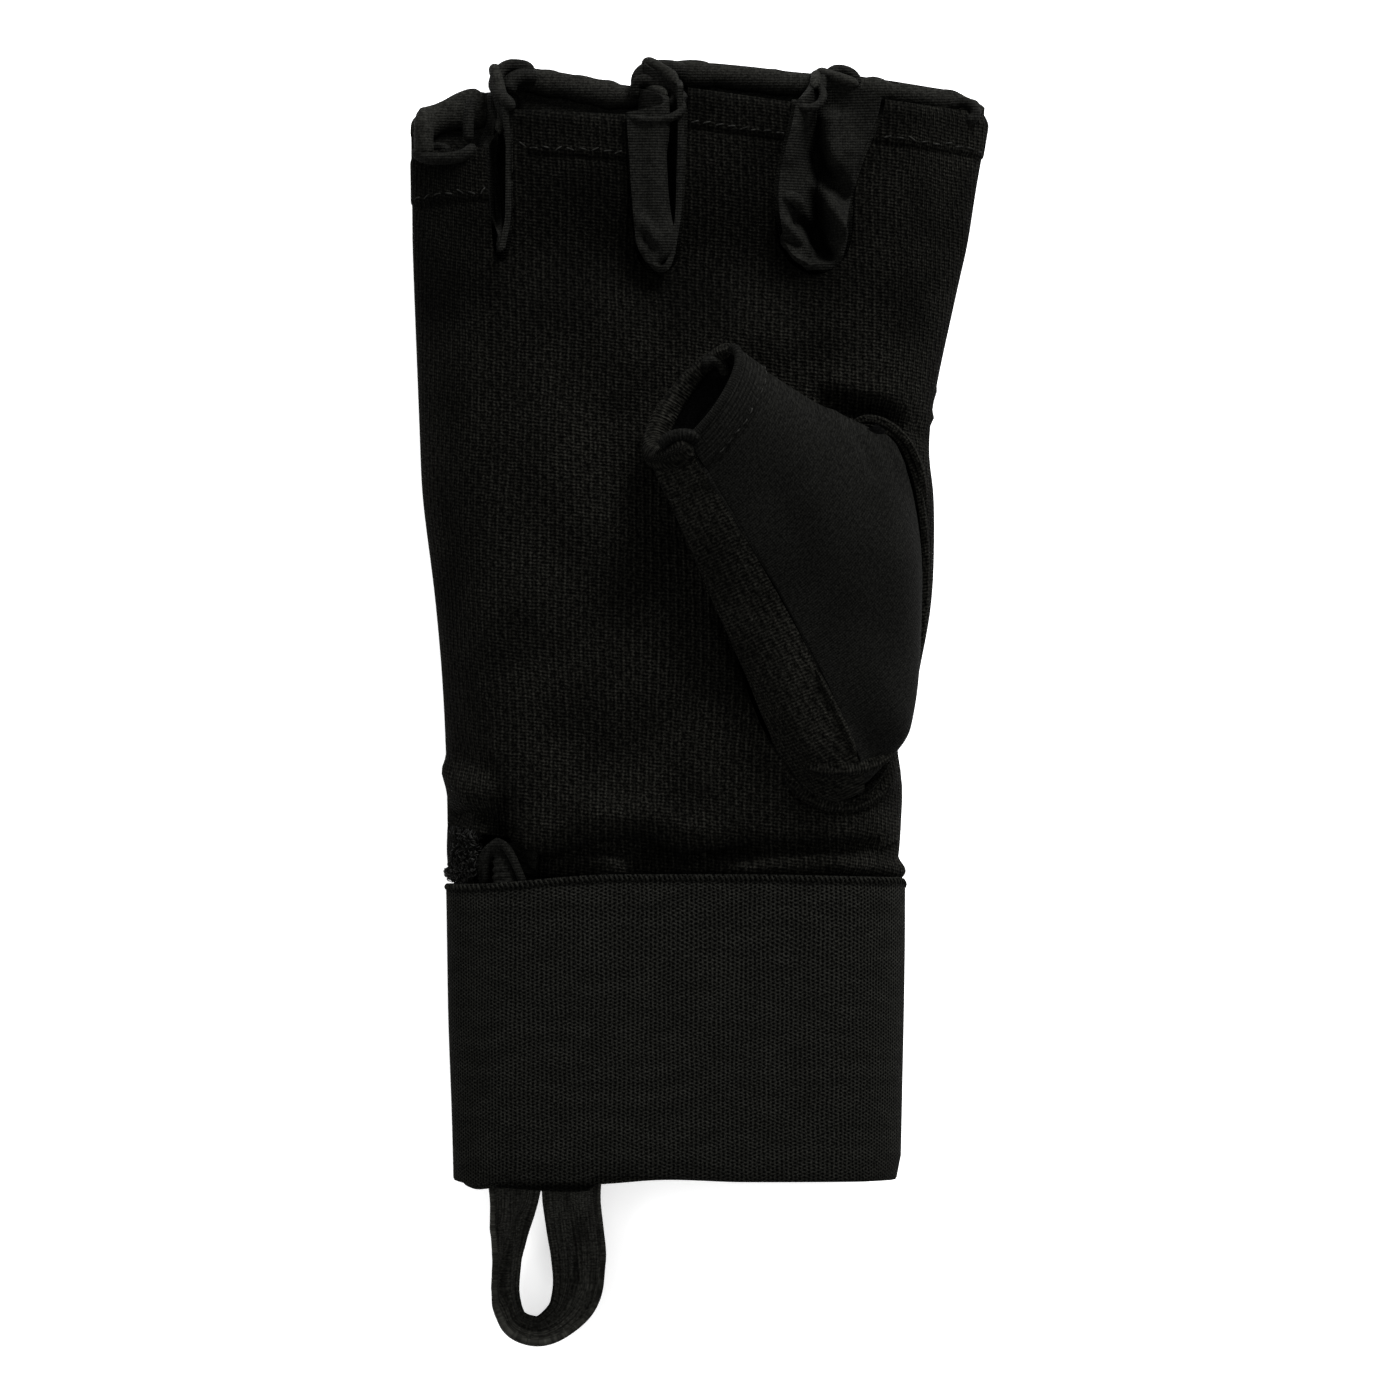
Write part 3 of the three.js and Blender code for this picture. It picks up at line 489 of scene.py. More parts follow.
def speckle(vector, scale, detail=2.0, stretch=(1, 1, 1)):
    tree = vector.id_data
    turn = tree.nodes.new("ShaderNodeMapping")
    turn.inputs["Scale"].default_value = stretch
    tree.links.new(vector, turn.inputs["Vector"])
    node = tree.nodes.new("ShaderNodeTexNoise")
    node.inputs["Scale"].default_value = scale
    node.inputs["Detail"].default_value = detail
    tree.links.new(turn.outputs["Vector"], node.inputs["Vector"])
    return node.outputs["Fac"]


def startGroup(name, **inputs):
    group = bpy.data.node_groups.new(name, "ShaderNodeTree")
    group.interface.new_socket("Place", in_out="INPUT", socket_type="NodeSocketVector")
    for label, value in inputs.items():
        socket = group.interface.new_socket(label, in_out="INPUT", socket_type="NodeSocketFloat")
        socket.default_value = value
    for label in ("Height", "Shade"):
        group.interface.new_socket(label, in_out="OUTPUT", socket_type="NodeSocketFloat")
    given = group.nodes.new("NodeGroupInput").outputs
    split = group.nodes.new("ShaderNodeSeparateXYZ")
    group.links.new(given["Place"], split.inputs[0])
    return given, split.outputs[0], split.outputs[1]


def endGroup(height, shade):
    group = height.id_data
    end = group.nodes.new("NodeGroupOutput")
    group.links.new(height, end.inputs["Height"])
    group.links.new(shade, end.inputs["Shade"])
    return group


def ribKnitGroup():
    # ribs of two wales each, crossed by fine courses, with small staggered tucks in the grooves;
    # Shadow paints shade on the palm at the fingers and light on it at the heel of the hand
    given, x, y = startGroup("ribKnit", Pitch=1.65, Course=0.69, Slit=4.1, Depth=0.3, Bend=2.4, Shadow=0.0,
                             Relief=1.0)
    place = given["Place"]
    bend = minus(speckle(place, 0.022, 1), 0.5)
    u = plus(over(x, given["Pitch"]), (bend, given["Bend"]), (speckle(place, 0.3, 1), 0.3))
    ribs = wave(u, "COSINE")
    wales = wave(times(u, 2), "COSINE")
    courses = wave(plus(over(y, given["Course"]), (speckle(place, 0.12, 2), 1.3), (u, 0.3)))
    offset = plus(times(calc("FLOOR", u), 0.5), (speckle(place, 0.2, 1), 0.5))
    across = calc("ABSOLUTE", minus(calc("FRACT", u), 0.5))
    along = calc("FRACT", calc("ADD", over(y, given["Slit"]), offset))
    slit = times(ramp(along, 0.1, 0.3), ramp(along, 0.75, 0.5), ramp(across, 0.24, 0.04))
    fuzz = speckle(place, 2.0, 5)
    grain = speckle(place, 0.85, 3)
    broad = speckle(place, 0.07, 3)
    height = plus(times(ribs, 0.07), (wales, 0.05), (courses, 0.05), (fuzz, 0.4))
    height = minus(height, times(slit, given["Depth"]))
    relief = plus(times(ribs, 0.13), (wales, 0.3))
    shade = calc("MAXIMUM", plus(0.72, (relief, given["Relief"]), (courses, 0.3)), 0.1)
    shade = times(shade, ramp(fuzz, 0.33, 0.69, 0.24, 1.9), ramp(grain, 0.3, 0.7, 0.8, 1.2),
                  ramp(broad, 0.3, 0.7, 0.72, 1.28), plus(1.0, (slit, -0.4)))
    # painted shade at the finger end of the palm and painted light at its heel
    shadow = times(ramp(y, 64, 84), ramp(x, 70, 20), given["Shadow"])
    paintedHeelLight = times(ramp(y, 0, -16), given["Shadow"])
    return endGroup(height, times(shade, minus(1.0, shadow), plus(1.0, (paintedHeelLight, 0.44))))


def jerseyGroup():
    # fine cross ribs over close wales; Lines adds long streaks and Hem the rows of a folded hem
    given, x, y = startGroup("fineJersey", Rib=0.56, Wale=0.5, Strength=1.0, Lines=0.0, Hem=0.0)
    place = given["Place"]
    ribs = wave(over(y, given["Rib"]))
    wales = wave(over(x, given["Wale"]))
    fuzz = speckle(place, 3.0, 3)
    grain = speckle(place, 1.5, 4)
    broad = speckle(place, 0.07, 2)
    woven = plus(times(wales, 0.018), (ribs, 0.045))
    height = plus(times(woven, given["Strength"]), (fuzz, 0.1))
    streaks = minus(ramp(speckle(place, 1.0, 3, (1.5, 0.1, 1)), 0.38, 0.56), 0.75)
    hem = times(wave(over(y, 0.8)), ramp(y, 5.4, 4.8))
    shade = plus(0.9, (ribs, 0.16), (wales, given["Lines"]))
    shade = times(shade, plus(1.0, (times(streaks, 2.6), given["Lines"])))
    shade = times(plus(shade, (hem, given["Hem"])), ramp(fuzz, 0.3, 0.7, 0.7, 1.3),
                  ramp(grain, 0.32, 0.68, 0.62, 1.38), ramp(broad, 0.3, 0.7, 0.86, 1.14))
    return endGroup(height, shade)


def elasticGroup():
    # staggered columns of the band's knuckles, darker along the top, with painted shade along the lower edge
    # above the loop
    given, x, y = startGroup("elasticWeave", Pitch=0.9, Row=0.722, Depth=0.2, Edge=-96.4)
    place = given["Place"]
    y = plus(y, (speckle(place, 0.03, 1), 1.2))
    across = plus(over(x, given["Pitch"]), (speckle(place, 0.1, 1), 0.8))
    row = plus(over(y, given["Row"]), (calc("FLOOR", across), 0.5))
    u = times(minus(calc("FRACT", across), 0.5), 1.15)
    v = times(minus(calc("FRACT", row), 0.5), 1.1)
    knuckle = ramp(calc("SQRT", plus(times(u, u), (v, v))), 0.14, 0.52)
    fuzz = speckle(place, 2.6, 4)
    broad = speckle(place, 0.12, 2, (1, 3, 1))
    height = plus(times(knuckle, given["Depth"]), (fuzz, 0.16))
    # painted shade along the band's lower edge, above the loop
    paintedShadeLow = times(ramp(minus(y, given["Edge"]), 0.7, -0.1), 0.78, ramp(x, -42, -41), ramp(x, -20, -21))
    shade = times(plus(0.05, (knuckle, 1.15)), ramp(fuzz, 0.34, 0.7, 0.35, 2.0),
                  ramp(broad, 0.3, 0.7, 0.84, 1.16), minus(1.0, paintedShadeLow), ramp(y, -38.1, -37.8, 1.0, 0.5))
    return endGroup(height, shade)


def pileGroup():
    # tangled fluff
    given = startGroup("softPile", Strength=1.0)[0]
    curls = speckle(given["Place"], 1.6, 5)
    return endGroup(times(curls, 0.9, given["Strength"]), ramp(curls, 0.3, 0.75, 0.3, 1.6))


patterns = {"rib": ribKnitGroup(), "jersey": jerseyGroup(), "elastic": elasticGroup(), "pile": pileGroup()}


def clothMaterial(name, slot, colour, pattern, values, roughness, uv=True, bump=1.0, gloss=0.006):
    # patterns are laid out in millimetres, over the flattened cloth or by the place in space
    material = bpy.data.materials.new(name)
    material.use_nodes = True
    nodes, links = material.node_tree.nodes, material.node_tree.links
    shader = nodes["Principled BSDF"]
    source = nodes.new("ShaderNodeUVMap" if uv else "ShaderNodeTexCoord")
    if uv:
        source.uv_map = "cloth"
    scaled = nodes.new("ShaderNodeMapping")
    scaled.inputs["Scale"].default_value = [1 if uv else 1 / mm] * 3
    links.new(source.outputs["UV" if uv else "Object"], scaled.inputs["Vector"])
    weave = nodes.new("ShaderNodeGroup")
    weave.node_tree = patterns[pattern]
    links.new(scaled.outputs["Vector"], weave.inputs["Place"])
    for label, value in values.items():
        weave.inputs[label].default_value = value
    dark = nodes.new("ShaderNodeMix")
    dark.data_type = "RGBA"
    dark.clamp_factor = False
    dark.inputs["A"].default_value = (0, 0, 0, 1)
    dark.inputs["B"].default_value = (*colour, 1)
    links.new(weave.outputs["Shade"], dark.inputs["Factor"])
    links.new(dark.outputs["Result"], shader.inputs["Base Color"])
    raised = nodes.new("ShaderNodeBump")
    raised.inputs["Distance"].default_value = mm
    raised.inputs["Strength"].default_value = bump
    links.new(weave.outputs["Height"], raised.inputs["Height"])
    links.new(raised.outputs["Normal"], shader.inputs["Normal"])
    surface = {"Roughness": roughness, "Specular IOR Level": gloss, "Sheen Weight": 0.002,
               "Sheen Roughness": 0.45}
    for label, value in surface.items():
        shader.inputs[label].default_value = value
    return material


# the palm's knit has painted shade at the fingers and painted light at the heel
palmKnit = clothMaterial("palmKnitBlack", "palm_knit", (0.0040, 0.0039, 0.0033), "rib", {"Shadow": 0.5}, 0.9)
thumbKnit = clothMaterial("thumbKnitBlack", "palm_knit", (0.0053, 0.0052, 0.0044), "rib",
                          {"Bend": 0.5, "Pitch": 1.89, "Relief": 0.45}, 0.9)
lipKnit = clothMaterial("rolledKnitBlack", "palm_knit", (0.0046, 0.0045, 0.0038), "rib",
                        {"Bend": 0.0, "Pitch": 1.2, "Relief": 0.5}, 0.9)
sleeveCloth = clothMaterial("sleeveStretchBlack", "smooth_cloth", (0.0029, 0.0029, 0.0026), "jersey",
                            {"Strength": 0.5, "Rib": 0.5, "Hem": 0.35}, 0.7)
gussetCloth = clothMaterial("gussetJerseyBlack", "smooth_cloth", (0.0033, 0.0033, 0.0029), "jersey", {}, 0.7,
                            uv=False, gloss=0.01)
backCloth = clothMaterial("backFoamClothBlack", "smooth_cloth", (0.0056, 0.0056, 0.0049), "jersey",
                          {"Strength": 0.5}, 0.7, uv=False)
# painted shade: the inner faces of the thumb's sleeve and strip get this darker colour to show the shade
# inside
paintedShadeLining = clothMaterial("liningBlackPaintedShade", "smooth_cloth", (0.0007, 0.0007, 0.0007), "jersey",
                            {"Strength": 0.1}, 1.0, uv=False)
tapeCloth = clothMaterial("loopTapeBlack", "loop_tape", (0.0132, 0.0132, 0.0115), "jersey",
                          {"Rib": 0.62, "Wale": 0.6, "Lines": 0.22}, 0.7)
bandCloth = clothMaterial("strapElasticBlack", "strap_elastic", (0.0047, 0.0047, 0.0041), "elastic", {}, 0.9)
pileCloth = clothMaterial("fastenerPileBlack", "fastener_pile", (0.0036, 0.0036, 0.0033), "pile", {}, 1.0,
                          uv=False)
thread = {"pattern": "pile", "values": {"Strength": 0.05}, "uv": False, "bump": 0.3}
threadBlack = clothMaterial("sewingThreadBlack", "palm_knit", (0.0085, 0.0085, 0.0078), roughness=0.6,
                            **thread)
bandThread = clothMaterial("bandThreadBlack", "strap_elastic", (0.0058, 0.0058, 0.005), roughness=0.8,
                           **thread)
curlThread = clothMaterial("curledThreadBlack", "fastener_pile", (0.0058, 0.0058, 0.0052), roughness=0.5,
                           gloss=0.05, **thread)
print("materials ready")


def finishPiece(piece, material, *nodes, slot=None):
    if piece.data.materials:
        piece.data.materials[0] = material
    else:
        piece.data.materials.append(material)
    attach(piece, "root")
    if nodes:
        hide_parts(*nodes)
    return piece


def finishSheet(piece, thickness, material, node, **options):
    thicken(piece, thickness, **options)
    smoothShade(piece)
    return finishPiece(piece, material, node)


def keepAbove(piece, height):
    for vertex in piece.data.vertices:
        vertex.co.z = max(vertex.co.z, height * mm)


# Palm

palmSettings = {
    "thickness": 2.0, "hemWidths": (11.0, 9.2, 8.0, 9.0), "slots": (-41.4, -11.2, 23.4),
    "hemRise": 0.35, "hemDent": 0.35, "edgeRoll": 1.1, "waves": 0.3, "waveSize": 22, "sideDrop": 22,
    "crease": [(-52, -24), (-45, -22), (-40, -23.5), (-36, -30.4), (-31, -31.6), (-25.8, -30.2),
               (-18.6, -27.8), (-10, -27.8), (-3, -31.4), (5.2, -30), (13, -28.4), (33, -28.4)],
    "creaseDepth": 5.4, "creaseWidth": 2.6, "overhang": 1.4, "puff": 0.8, "cuffSwell": 2.4, "tuck": 4.0,
    "drawIn": 2.0, "drawOut": 0.3,
}
# Folds: a line of (x, y) points, a half width and a height
palmFolds = [
    ([(-44, 90), (-24, 90), (0, 88), (24, 88)], 9.0, -3.0),
    ([(22.6, 60.4), (27, 58.6), (33, 57.4), (40, 56)], 1.7, -3.0),
    ([(24, 63.6), (32, 61.6), (40, 60.5)], 2.2, 0.9),
    ([(37, 58.4), (42, 60), (48, 61.5)], 0.8, 0.7),
    ([(38, 55.2), (43, 54), (48, 51)], 0.7, -0.9),
    ([(37, 57), (43, 57), (48, 56)], 0.7, 0.6),
    ([(15.4, -12), (18.4, -15.6), (22, -18.6), (27, -19.8), (32, -19.6), (37, -17), (40, -12)], 1.4, 1.5),
    ([(17, -18.4), (21, -20.8), (26, -22), (31, -21.8), (35, -20.2)], 0.8, -1.2),
    ([(19, -11), (22, -14.6), (27, -16.8), (33, -16.6), (37, -14)], 0.9, -0.9),
    ([(3.4, 19), (7, 10), (11, 2), (13.4, -3)], 1.6, -1.7),
    ([(13.6, -7), (16, -11.4), (19.4, -15)], 1.6, 1.8),
    ([(-53, -12), (-47, -18), (-44, -25)], 2.0, 1.1),
    ([(-50, -8), (-42, -14), (-37, -22)], 1.6, -0.9),
    ([(-51, -19), (-47, -24)], 1.0, -0.4),
    ([(-40.4, -18.6), (-37.9, -22.8), (-37.5, -27.6)], 1.6, -3.2),
    ([(-45.6, -17), (-43.8, -21), (-43.4, -25)], 1.4, 0.9),
    ([(-27, -30.6), (-21, -32.4), (-14, -33.4)], 1.7, 1.5),
    ([(4, -33), (12, -31.6), (22, -30.8), (30, -30.6)], 1.8, 1.2),
    ([(-30, -20), (-14, -23), (0, -26)], 3.0, 0.8),
    ([(6, -26.6), (20, -25.8), (34, -26)], 2.0, 1.3),
    ([(-34, -6), (-20, -12), (-6, -12)], 4.0, -0.5),
    ([(-8, 30), (-14, 46), (-16, 62)], 5.0, -0.8),
    ([(-30, 60), (-28, 40), (-34, 20)], 5.0, 0.5),
    ([(2, 76), (14, 72), (30, 74)], 4.0, 0.5),
]
palm = clothFrom("palm_panel", "palm", lambda c: upward)
palmRuns = rimRuns(palm)
palmTips = [run for run in palmRuns
            if middleOf(run).y > 105 and abs((run[-1] - run[0]).x) > abs((run[-1] - run[0]).y)]
fromPalmTip = distanceFrom(palmTips)
divide(palm, lambda co: co.y > 108 or -37 < co.y < -22)


def hemWidthAt(x):
    # each finger's hem has its own width
    return palmSettings["hemWidths"][sum(x > slot for slot in palmSettings["slots"])]


divide(palm, lambda co: abs(fromPalmTip(co) - hemWidthAt(co.x)) < 0.7 and co.y > 97)


def sideFold(co, top, left, right):
    # the way across the cloth, where the drop at a side seam counts too
    middle, half = (left + right) / 2, (right - left) / 2
    share = abs(co.x - middle) / half
    return co.x + math.copysign(ease(0.72, 0.95, share) * max(0, top - co.z), co.x - middle)


def edgesAt(y):
    # the hand's left and right edge along its length
    rows = [(-94, -45.1, 34.9), (-36, -46.9, 36.1), (-32, -50.3, 39.6), (0, -51.4, 42.6), (40, -55.4, 46.5),
            (60, -56.4, 46.6), (80, -57.2, 50.8), (101, -57.7, 54.8), (130, -57.2, 57.6)]
    for a, b in zip(rows, rows[1:]):
        if y <= b[0]:
            share = max(0, (y - a[0]) / (b[0] - a[0]))
            return mix(a[1], b[1], share), mix(a[2], b[2], share)
    return rows[-1][1:]


def palmShape(co):
    s = palmSettings
    tip = fromPalmTip(co) if co.y > 95 else 99
    width = hemWidthAt(co.x)
    height = s["hemRise"] * ease(width + 0.4, width - 0.8, tip)
    height -= s["hemDent"] * bell((tip - width) / 0.6)
    height -= s["edgeRoll"] * (1 - min(1, tip / 2.2)) ** 2
    height += s["waves"] * noise.noise(Vector((co.x, co.y * 0.6, 0)) / s["waveSize"])
    return height + foldHeight(palmFolds, co)


def sidePush(co):
    # the right side draws in beside the foot of the thumb, and elsewhere reaches out a little
    draw = palmSettings["drawIn"] * bell((co.y + 9) / 6) - palmSettings["drawOut"] * ease(-34, -26, co.y)
    return Vector((-draw * ease(33, 42, co.x), 0, 0))


def creasePush(co):
    # the cloth above the strap hangs over a deep crease, with a puff on either side of it
    s = palmSettings
    if not -44 < co.y < -8:
        return Vector()
    far, _, side = nearLine(s["crease"], co)
    above = side > 0
    fade = ease(6, 12, co.z)
    drop = -s["creaseDepth"] * bell(far / s["creaseWidth"]) * mix(0.35, 1, ease(36, 20, co.x))
    drop *= 0.75 + 0.35 * noise.noise(Vector((co.x / 9, 0, 0)))
    puff = s["puff"] * (bell((far - 5.2) / 2.6) if above else 0.3 * bell((far - 4) / 1.6))
    if not above and co.y > -38:  # left of the thumb the cloth stays low down to the strap
        hollow = ease(10, 2, co.x) * ease(-46, -38, co.x) * (1 - 0.9 * bell((co.x + 17) / 5))
        drop = min(drop, -s["tuck"] * hollow)
    hang = -s["overhang"] * bell((far - 2.8) / 2.2) if above else 0
    # beside the strap's upper edge the cloth bulges out, more on the right
    swell = s["cuffSwell"] * ease(-37.6, -36.6, co.y) * ease(-31, -35.6, co.y)
    outward = math.copysign(ease(30, 36, abs(co.x + 5)), co.x + 5) * swell * (1.5 if co.x > 0 else 0.8)
    return Vector((outward, hang, (drop + puff) * fade))


sculpt(palm, palmShape)
push(palm, creasePush)
push(palm, sidePush)
layOutUv(palm, lambda co: (sideFold(co, palmSettings["sideDrop"], *edgesAt(co.y)), co.y))
palmSurface = surfaceOf(palm)
palmHemLines = [shifted(softPath(run, 1.0), palmSurface, hemWidthAt(middleOf(run).x)) for run in palmTips]
finishSheet(palm, palmSettings["thickness"], palmKnit, "palm_panel", even=False)
print("palm ready", len(palmTips), len(palm.data.polygons))

# Back

backSettings = {"thickness": 2.6, "reach": 2.2, "seam": 2.6,
                "indexCorner": (-1.1, -1.2, 0), "littleCorner": (-0.8, 0.1, 0)}


def backPush(co):
    # the finger strips reach into the slots, under the gussets
    near = min(palmSettings["slots"], key=lambda slot: abs(slot - co.x))
    far = abs(co.x - near)
    reach = min(backSettings["reach"], max(0, far - 0.3)) * ease(5, 2.7, far) * ease(88, 93, co.y)
    return Vector((math.copysign(reach, near - co.x), 0, 0))


def backCorners(co):
    # the index finger's corner is blunt, and the little finger's reaches out
    index = ease(50, 57, co.x) * ease(112, 119, co.y)
    little = ease(-50, -57, co.x) * ease(112, 117, co.y)
    return Vector(backSettings["indexCorner"]) * index + Vector(backSettings["littleCorner"]) * little


back = clothFrom("back_panel", "back", lambda c: -upward)
for move in (backPush, backCorners, sidePush):
    push(back, move)
backRuns = rimRuns(back)
backTips = [run for run in backRuns if middleOf(run).y > 110 and abs((run[-1] - run[0]).x) > 8 * mm]
littleSide = max((run for run in backRuns if middleOf(run).x < -50), key=len)
backTips.append([point for point in littleSide if point.y > 107 * mm])
backSurface = surfaceOf(back)
backSides = [run for run in backRuns if abs(middleOf(run).x + 2) > 36 and len(run) > 40]
backSeamLines = [shifted(softPath(run, 1.0), backSurface, backSettings["seam"]) for run in backSides]
finishSheet(back, backSettings["thickness"], backCloth, "back_panel")
print("back ready", len(backTips))

# Gussets between the fingers

gussetSettings = {"thickness": 1.2, "levels": 3, "wall": 1.4, "seamLift": 1.1, "seamWidth": 2.2,
                  "closeBelow": 13, "closeAbove": 7, "gap": 0.02, "outwardShare": 0.45}
gussetFolds = {
    "little_ring": [([(-41.0, 115), (-41.0, 104), (-41.0, 93)], 1.4, -4.5)],
    "ring_middle": [
        ([(-6.4, 112), (-5.8, 102), (-6.0, 94)], 0.8, -1.4),
        ([(-9.4, 112), (-9.0, 96)], 1.6, 0.5),
        ([(-12.6, 97), (-9.6, 93), (-8.2, 90)], 1.1, 0.7),
        ([(-11.8, 93), (-9, 89.6)], 0.7, -0.7),
    ],
    "middle_index": [
        ([(22.6, 110.5), (25.8, 105), (30.6, 99)], 1.6, -2.2),
        ([(25.2, 119), (25.6, 112), (26.8, 105)], 2.2, 2.2),
        ([(22.2, 105), (26, 98.6), (30.4, 92)], 1.7, 2.0),
        ([(18.4, 97.4), (22.6, 92.8), (27, 87)], 1.2, -2.4),
        ([(16.6, 96), (19.4, 92.6), (23, 88)], 1.2, 1.5),
        ([(22, 92), (22, 86)], 0.5, -1.1),
        ([(16.4, 92), (20.4, 90.4)], 0.6, -0.8),
        ([(17.6, 94.6), (19.8, 95.4)], 0.6, -0.7),
        ([(24, 90.6), (26.6, 91.6)], 0.8, 0.6),
        ([(28, 118), (29.6, 108)], 2.4, 0.8),
        ([(18.6, 116), (17.6, 106)], 1.6, 0.6),
    ],
}
gussetClimbs, gussets = {}, {}


def climbs(loop):
    # the two stretches of a gusset's edge that rise from the back's corner to the palm's
    found = []
    for path in (loop, loop[::-1]):
        for k, point in enumerate(path):
            after = path[(k + 1) % len(path)]
            if point.z <= 4.4 * mm < after.z and point.y > 110 * mm:
                climb = []
                while path[k % len(path)].z < 14.4 * mm and len(climb) < 90:
                    climb.append(path[k % len(path)])
                    k += 1
                found.append(climb)
                break
    return found


def slotPush(co, middle, seamSide):
    # the seam side comes up to the palm's face, and the two walls meet lower down
    s = gussetSettings
    lift = s["seamLift"] * bell(seamSide(co) / s["seamWidth"])
    far = middle - co.x
    inward = 0
    if abs(far) >= 0.05:
        closed = far * ease(s["closeBelow"], s["closeAbove"], co.z)
        inward = math.copysign(min(abs(closed), abs(far) - s["gap"]), closed)
    return Vector((inward, 0, lift))


for (gussetName, gussetFold), slotX in zip(gussetFolds.items(), palmSettings["slots"]):
    s = gussetSettings
    node = "gusset_" + gussetName
    low, high = (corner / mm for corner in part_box(node))
    middleX = (low.x + high.x) / 2
    gusset = clothFrom(node, "gusset" + gussetName.title().replace("_", ""),
                       lambda c: Vector((middleX - c.x / mm, 4, 3)), s["levels"], fold=85,
                       thickness=s["wall"], halved=gussetName == "ring_middle")
    loop = [point for run in rimRuns(gusset) for point in run[:-1]]
    gussetClimbs[gussetName] = sorted(climbs(loop), key=lambda climb: climb[-1].x)
    seamSide = distanceFrom([run for run in rimRuns(gusset) if middleOf(run).z > 15.5])
    push(gusset, lambda co: slotPush(co, slotX, seamSide))
    sculpt(gusset, lambda co: s["outwardShare"] * foldHeight(gussetFold, co))
    push(gusset, lambda co: upward * foldHeight(gussetFold, co))
    gussets[gussetName] = finishSheet(gusset, s["thickness"], gussetCloth, node, even=False)
print("gussets ready")

# Rolled hems: up one gusset's end, along the back's tip and up the next gusset's end

hemSettings = {"wide": 4.0, "high": 5.2, "littleHigh": 7.0, "rim": 2.3, "inward": 2.6, "up": 2.5,
               "uneven": 0.3, "unevenSize": 4}
fingers = [("little", None, "little_ring"), ("ring", "little_ring", "ring_middle"),
           ("middle", "ring_middle", "middle_index"), ("index", "middle_index", None)]
for (finger, leftSlot, rightSlot), tip in zip(fingers, sorted(backTips, key=lambda run: middleOf(run).x)):
    s = hemSettings
    tip = softPath(tip, 1.0)
    if tip[0].x > tip[-1].x:
        tip.reverse()
    line = evenly(gussetClimbs[leftSlot][1], 1.0)[::-1] if leftSlot else []
    first = len(line)
    for k, point in enumerate(tip):
        ahead = tip[min(k + 1, len(tip) - 1)] - tip[max(k - 1, 0)]
        inside = Vector((ahead.y, -ahead.x, 0)).normalized()
        line.append(point + (inside * s["inward"] + upward * s["up"]) * mm)
    last = len(line)
    if rightSlot:
        line += evenly(gussetClimbs[rightSlot][0], 1.0)
    broad = s["littleHigh"] if finger == "little" else s["high"]
    wide, high = [], []
    for k, point in enumerate(line):
        share = min(ease(first - 3, first + 3, k) if leftSlot else 1,
                    1 - ease(last - 4, last + 2, k) if rightSlot else 1)
        uneven = 1 + s["uneven"] * noise.noise(point / mm / s["unevenSize"])
        wide.append(mix(s["rim"], s["wide"], share))
        high.append(mix(s["rim"], broad, share) * uneven)
    rolled(finger + "Hem", smoothPath(line, 6), wide, high, backCloth, up=Vector((0, 1, 0)))
print("finger hems ready")

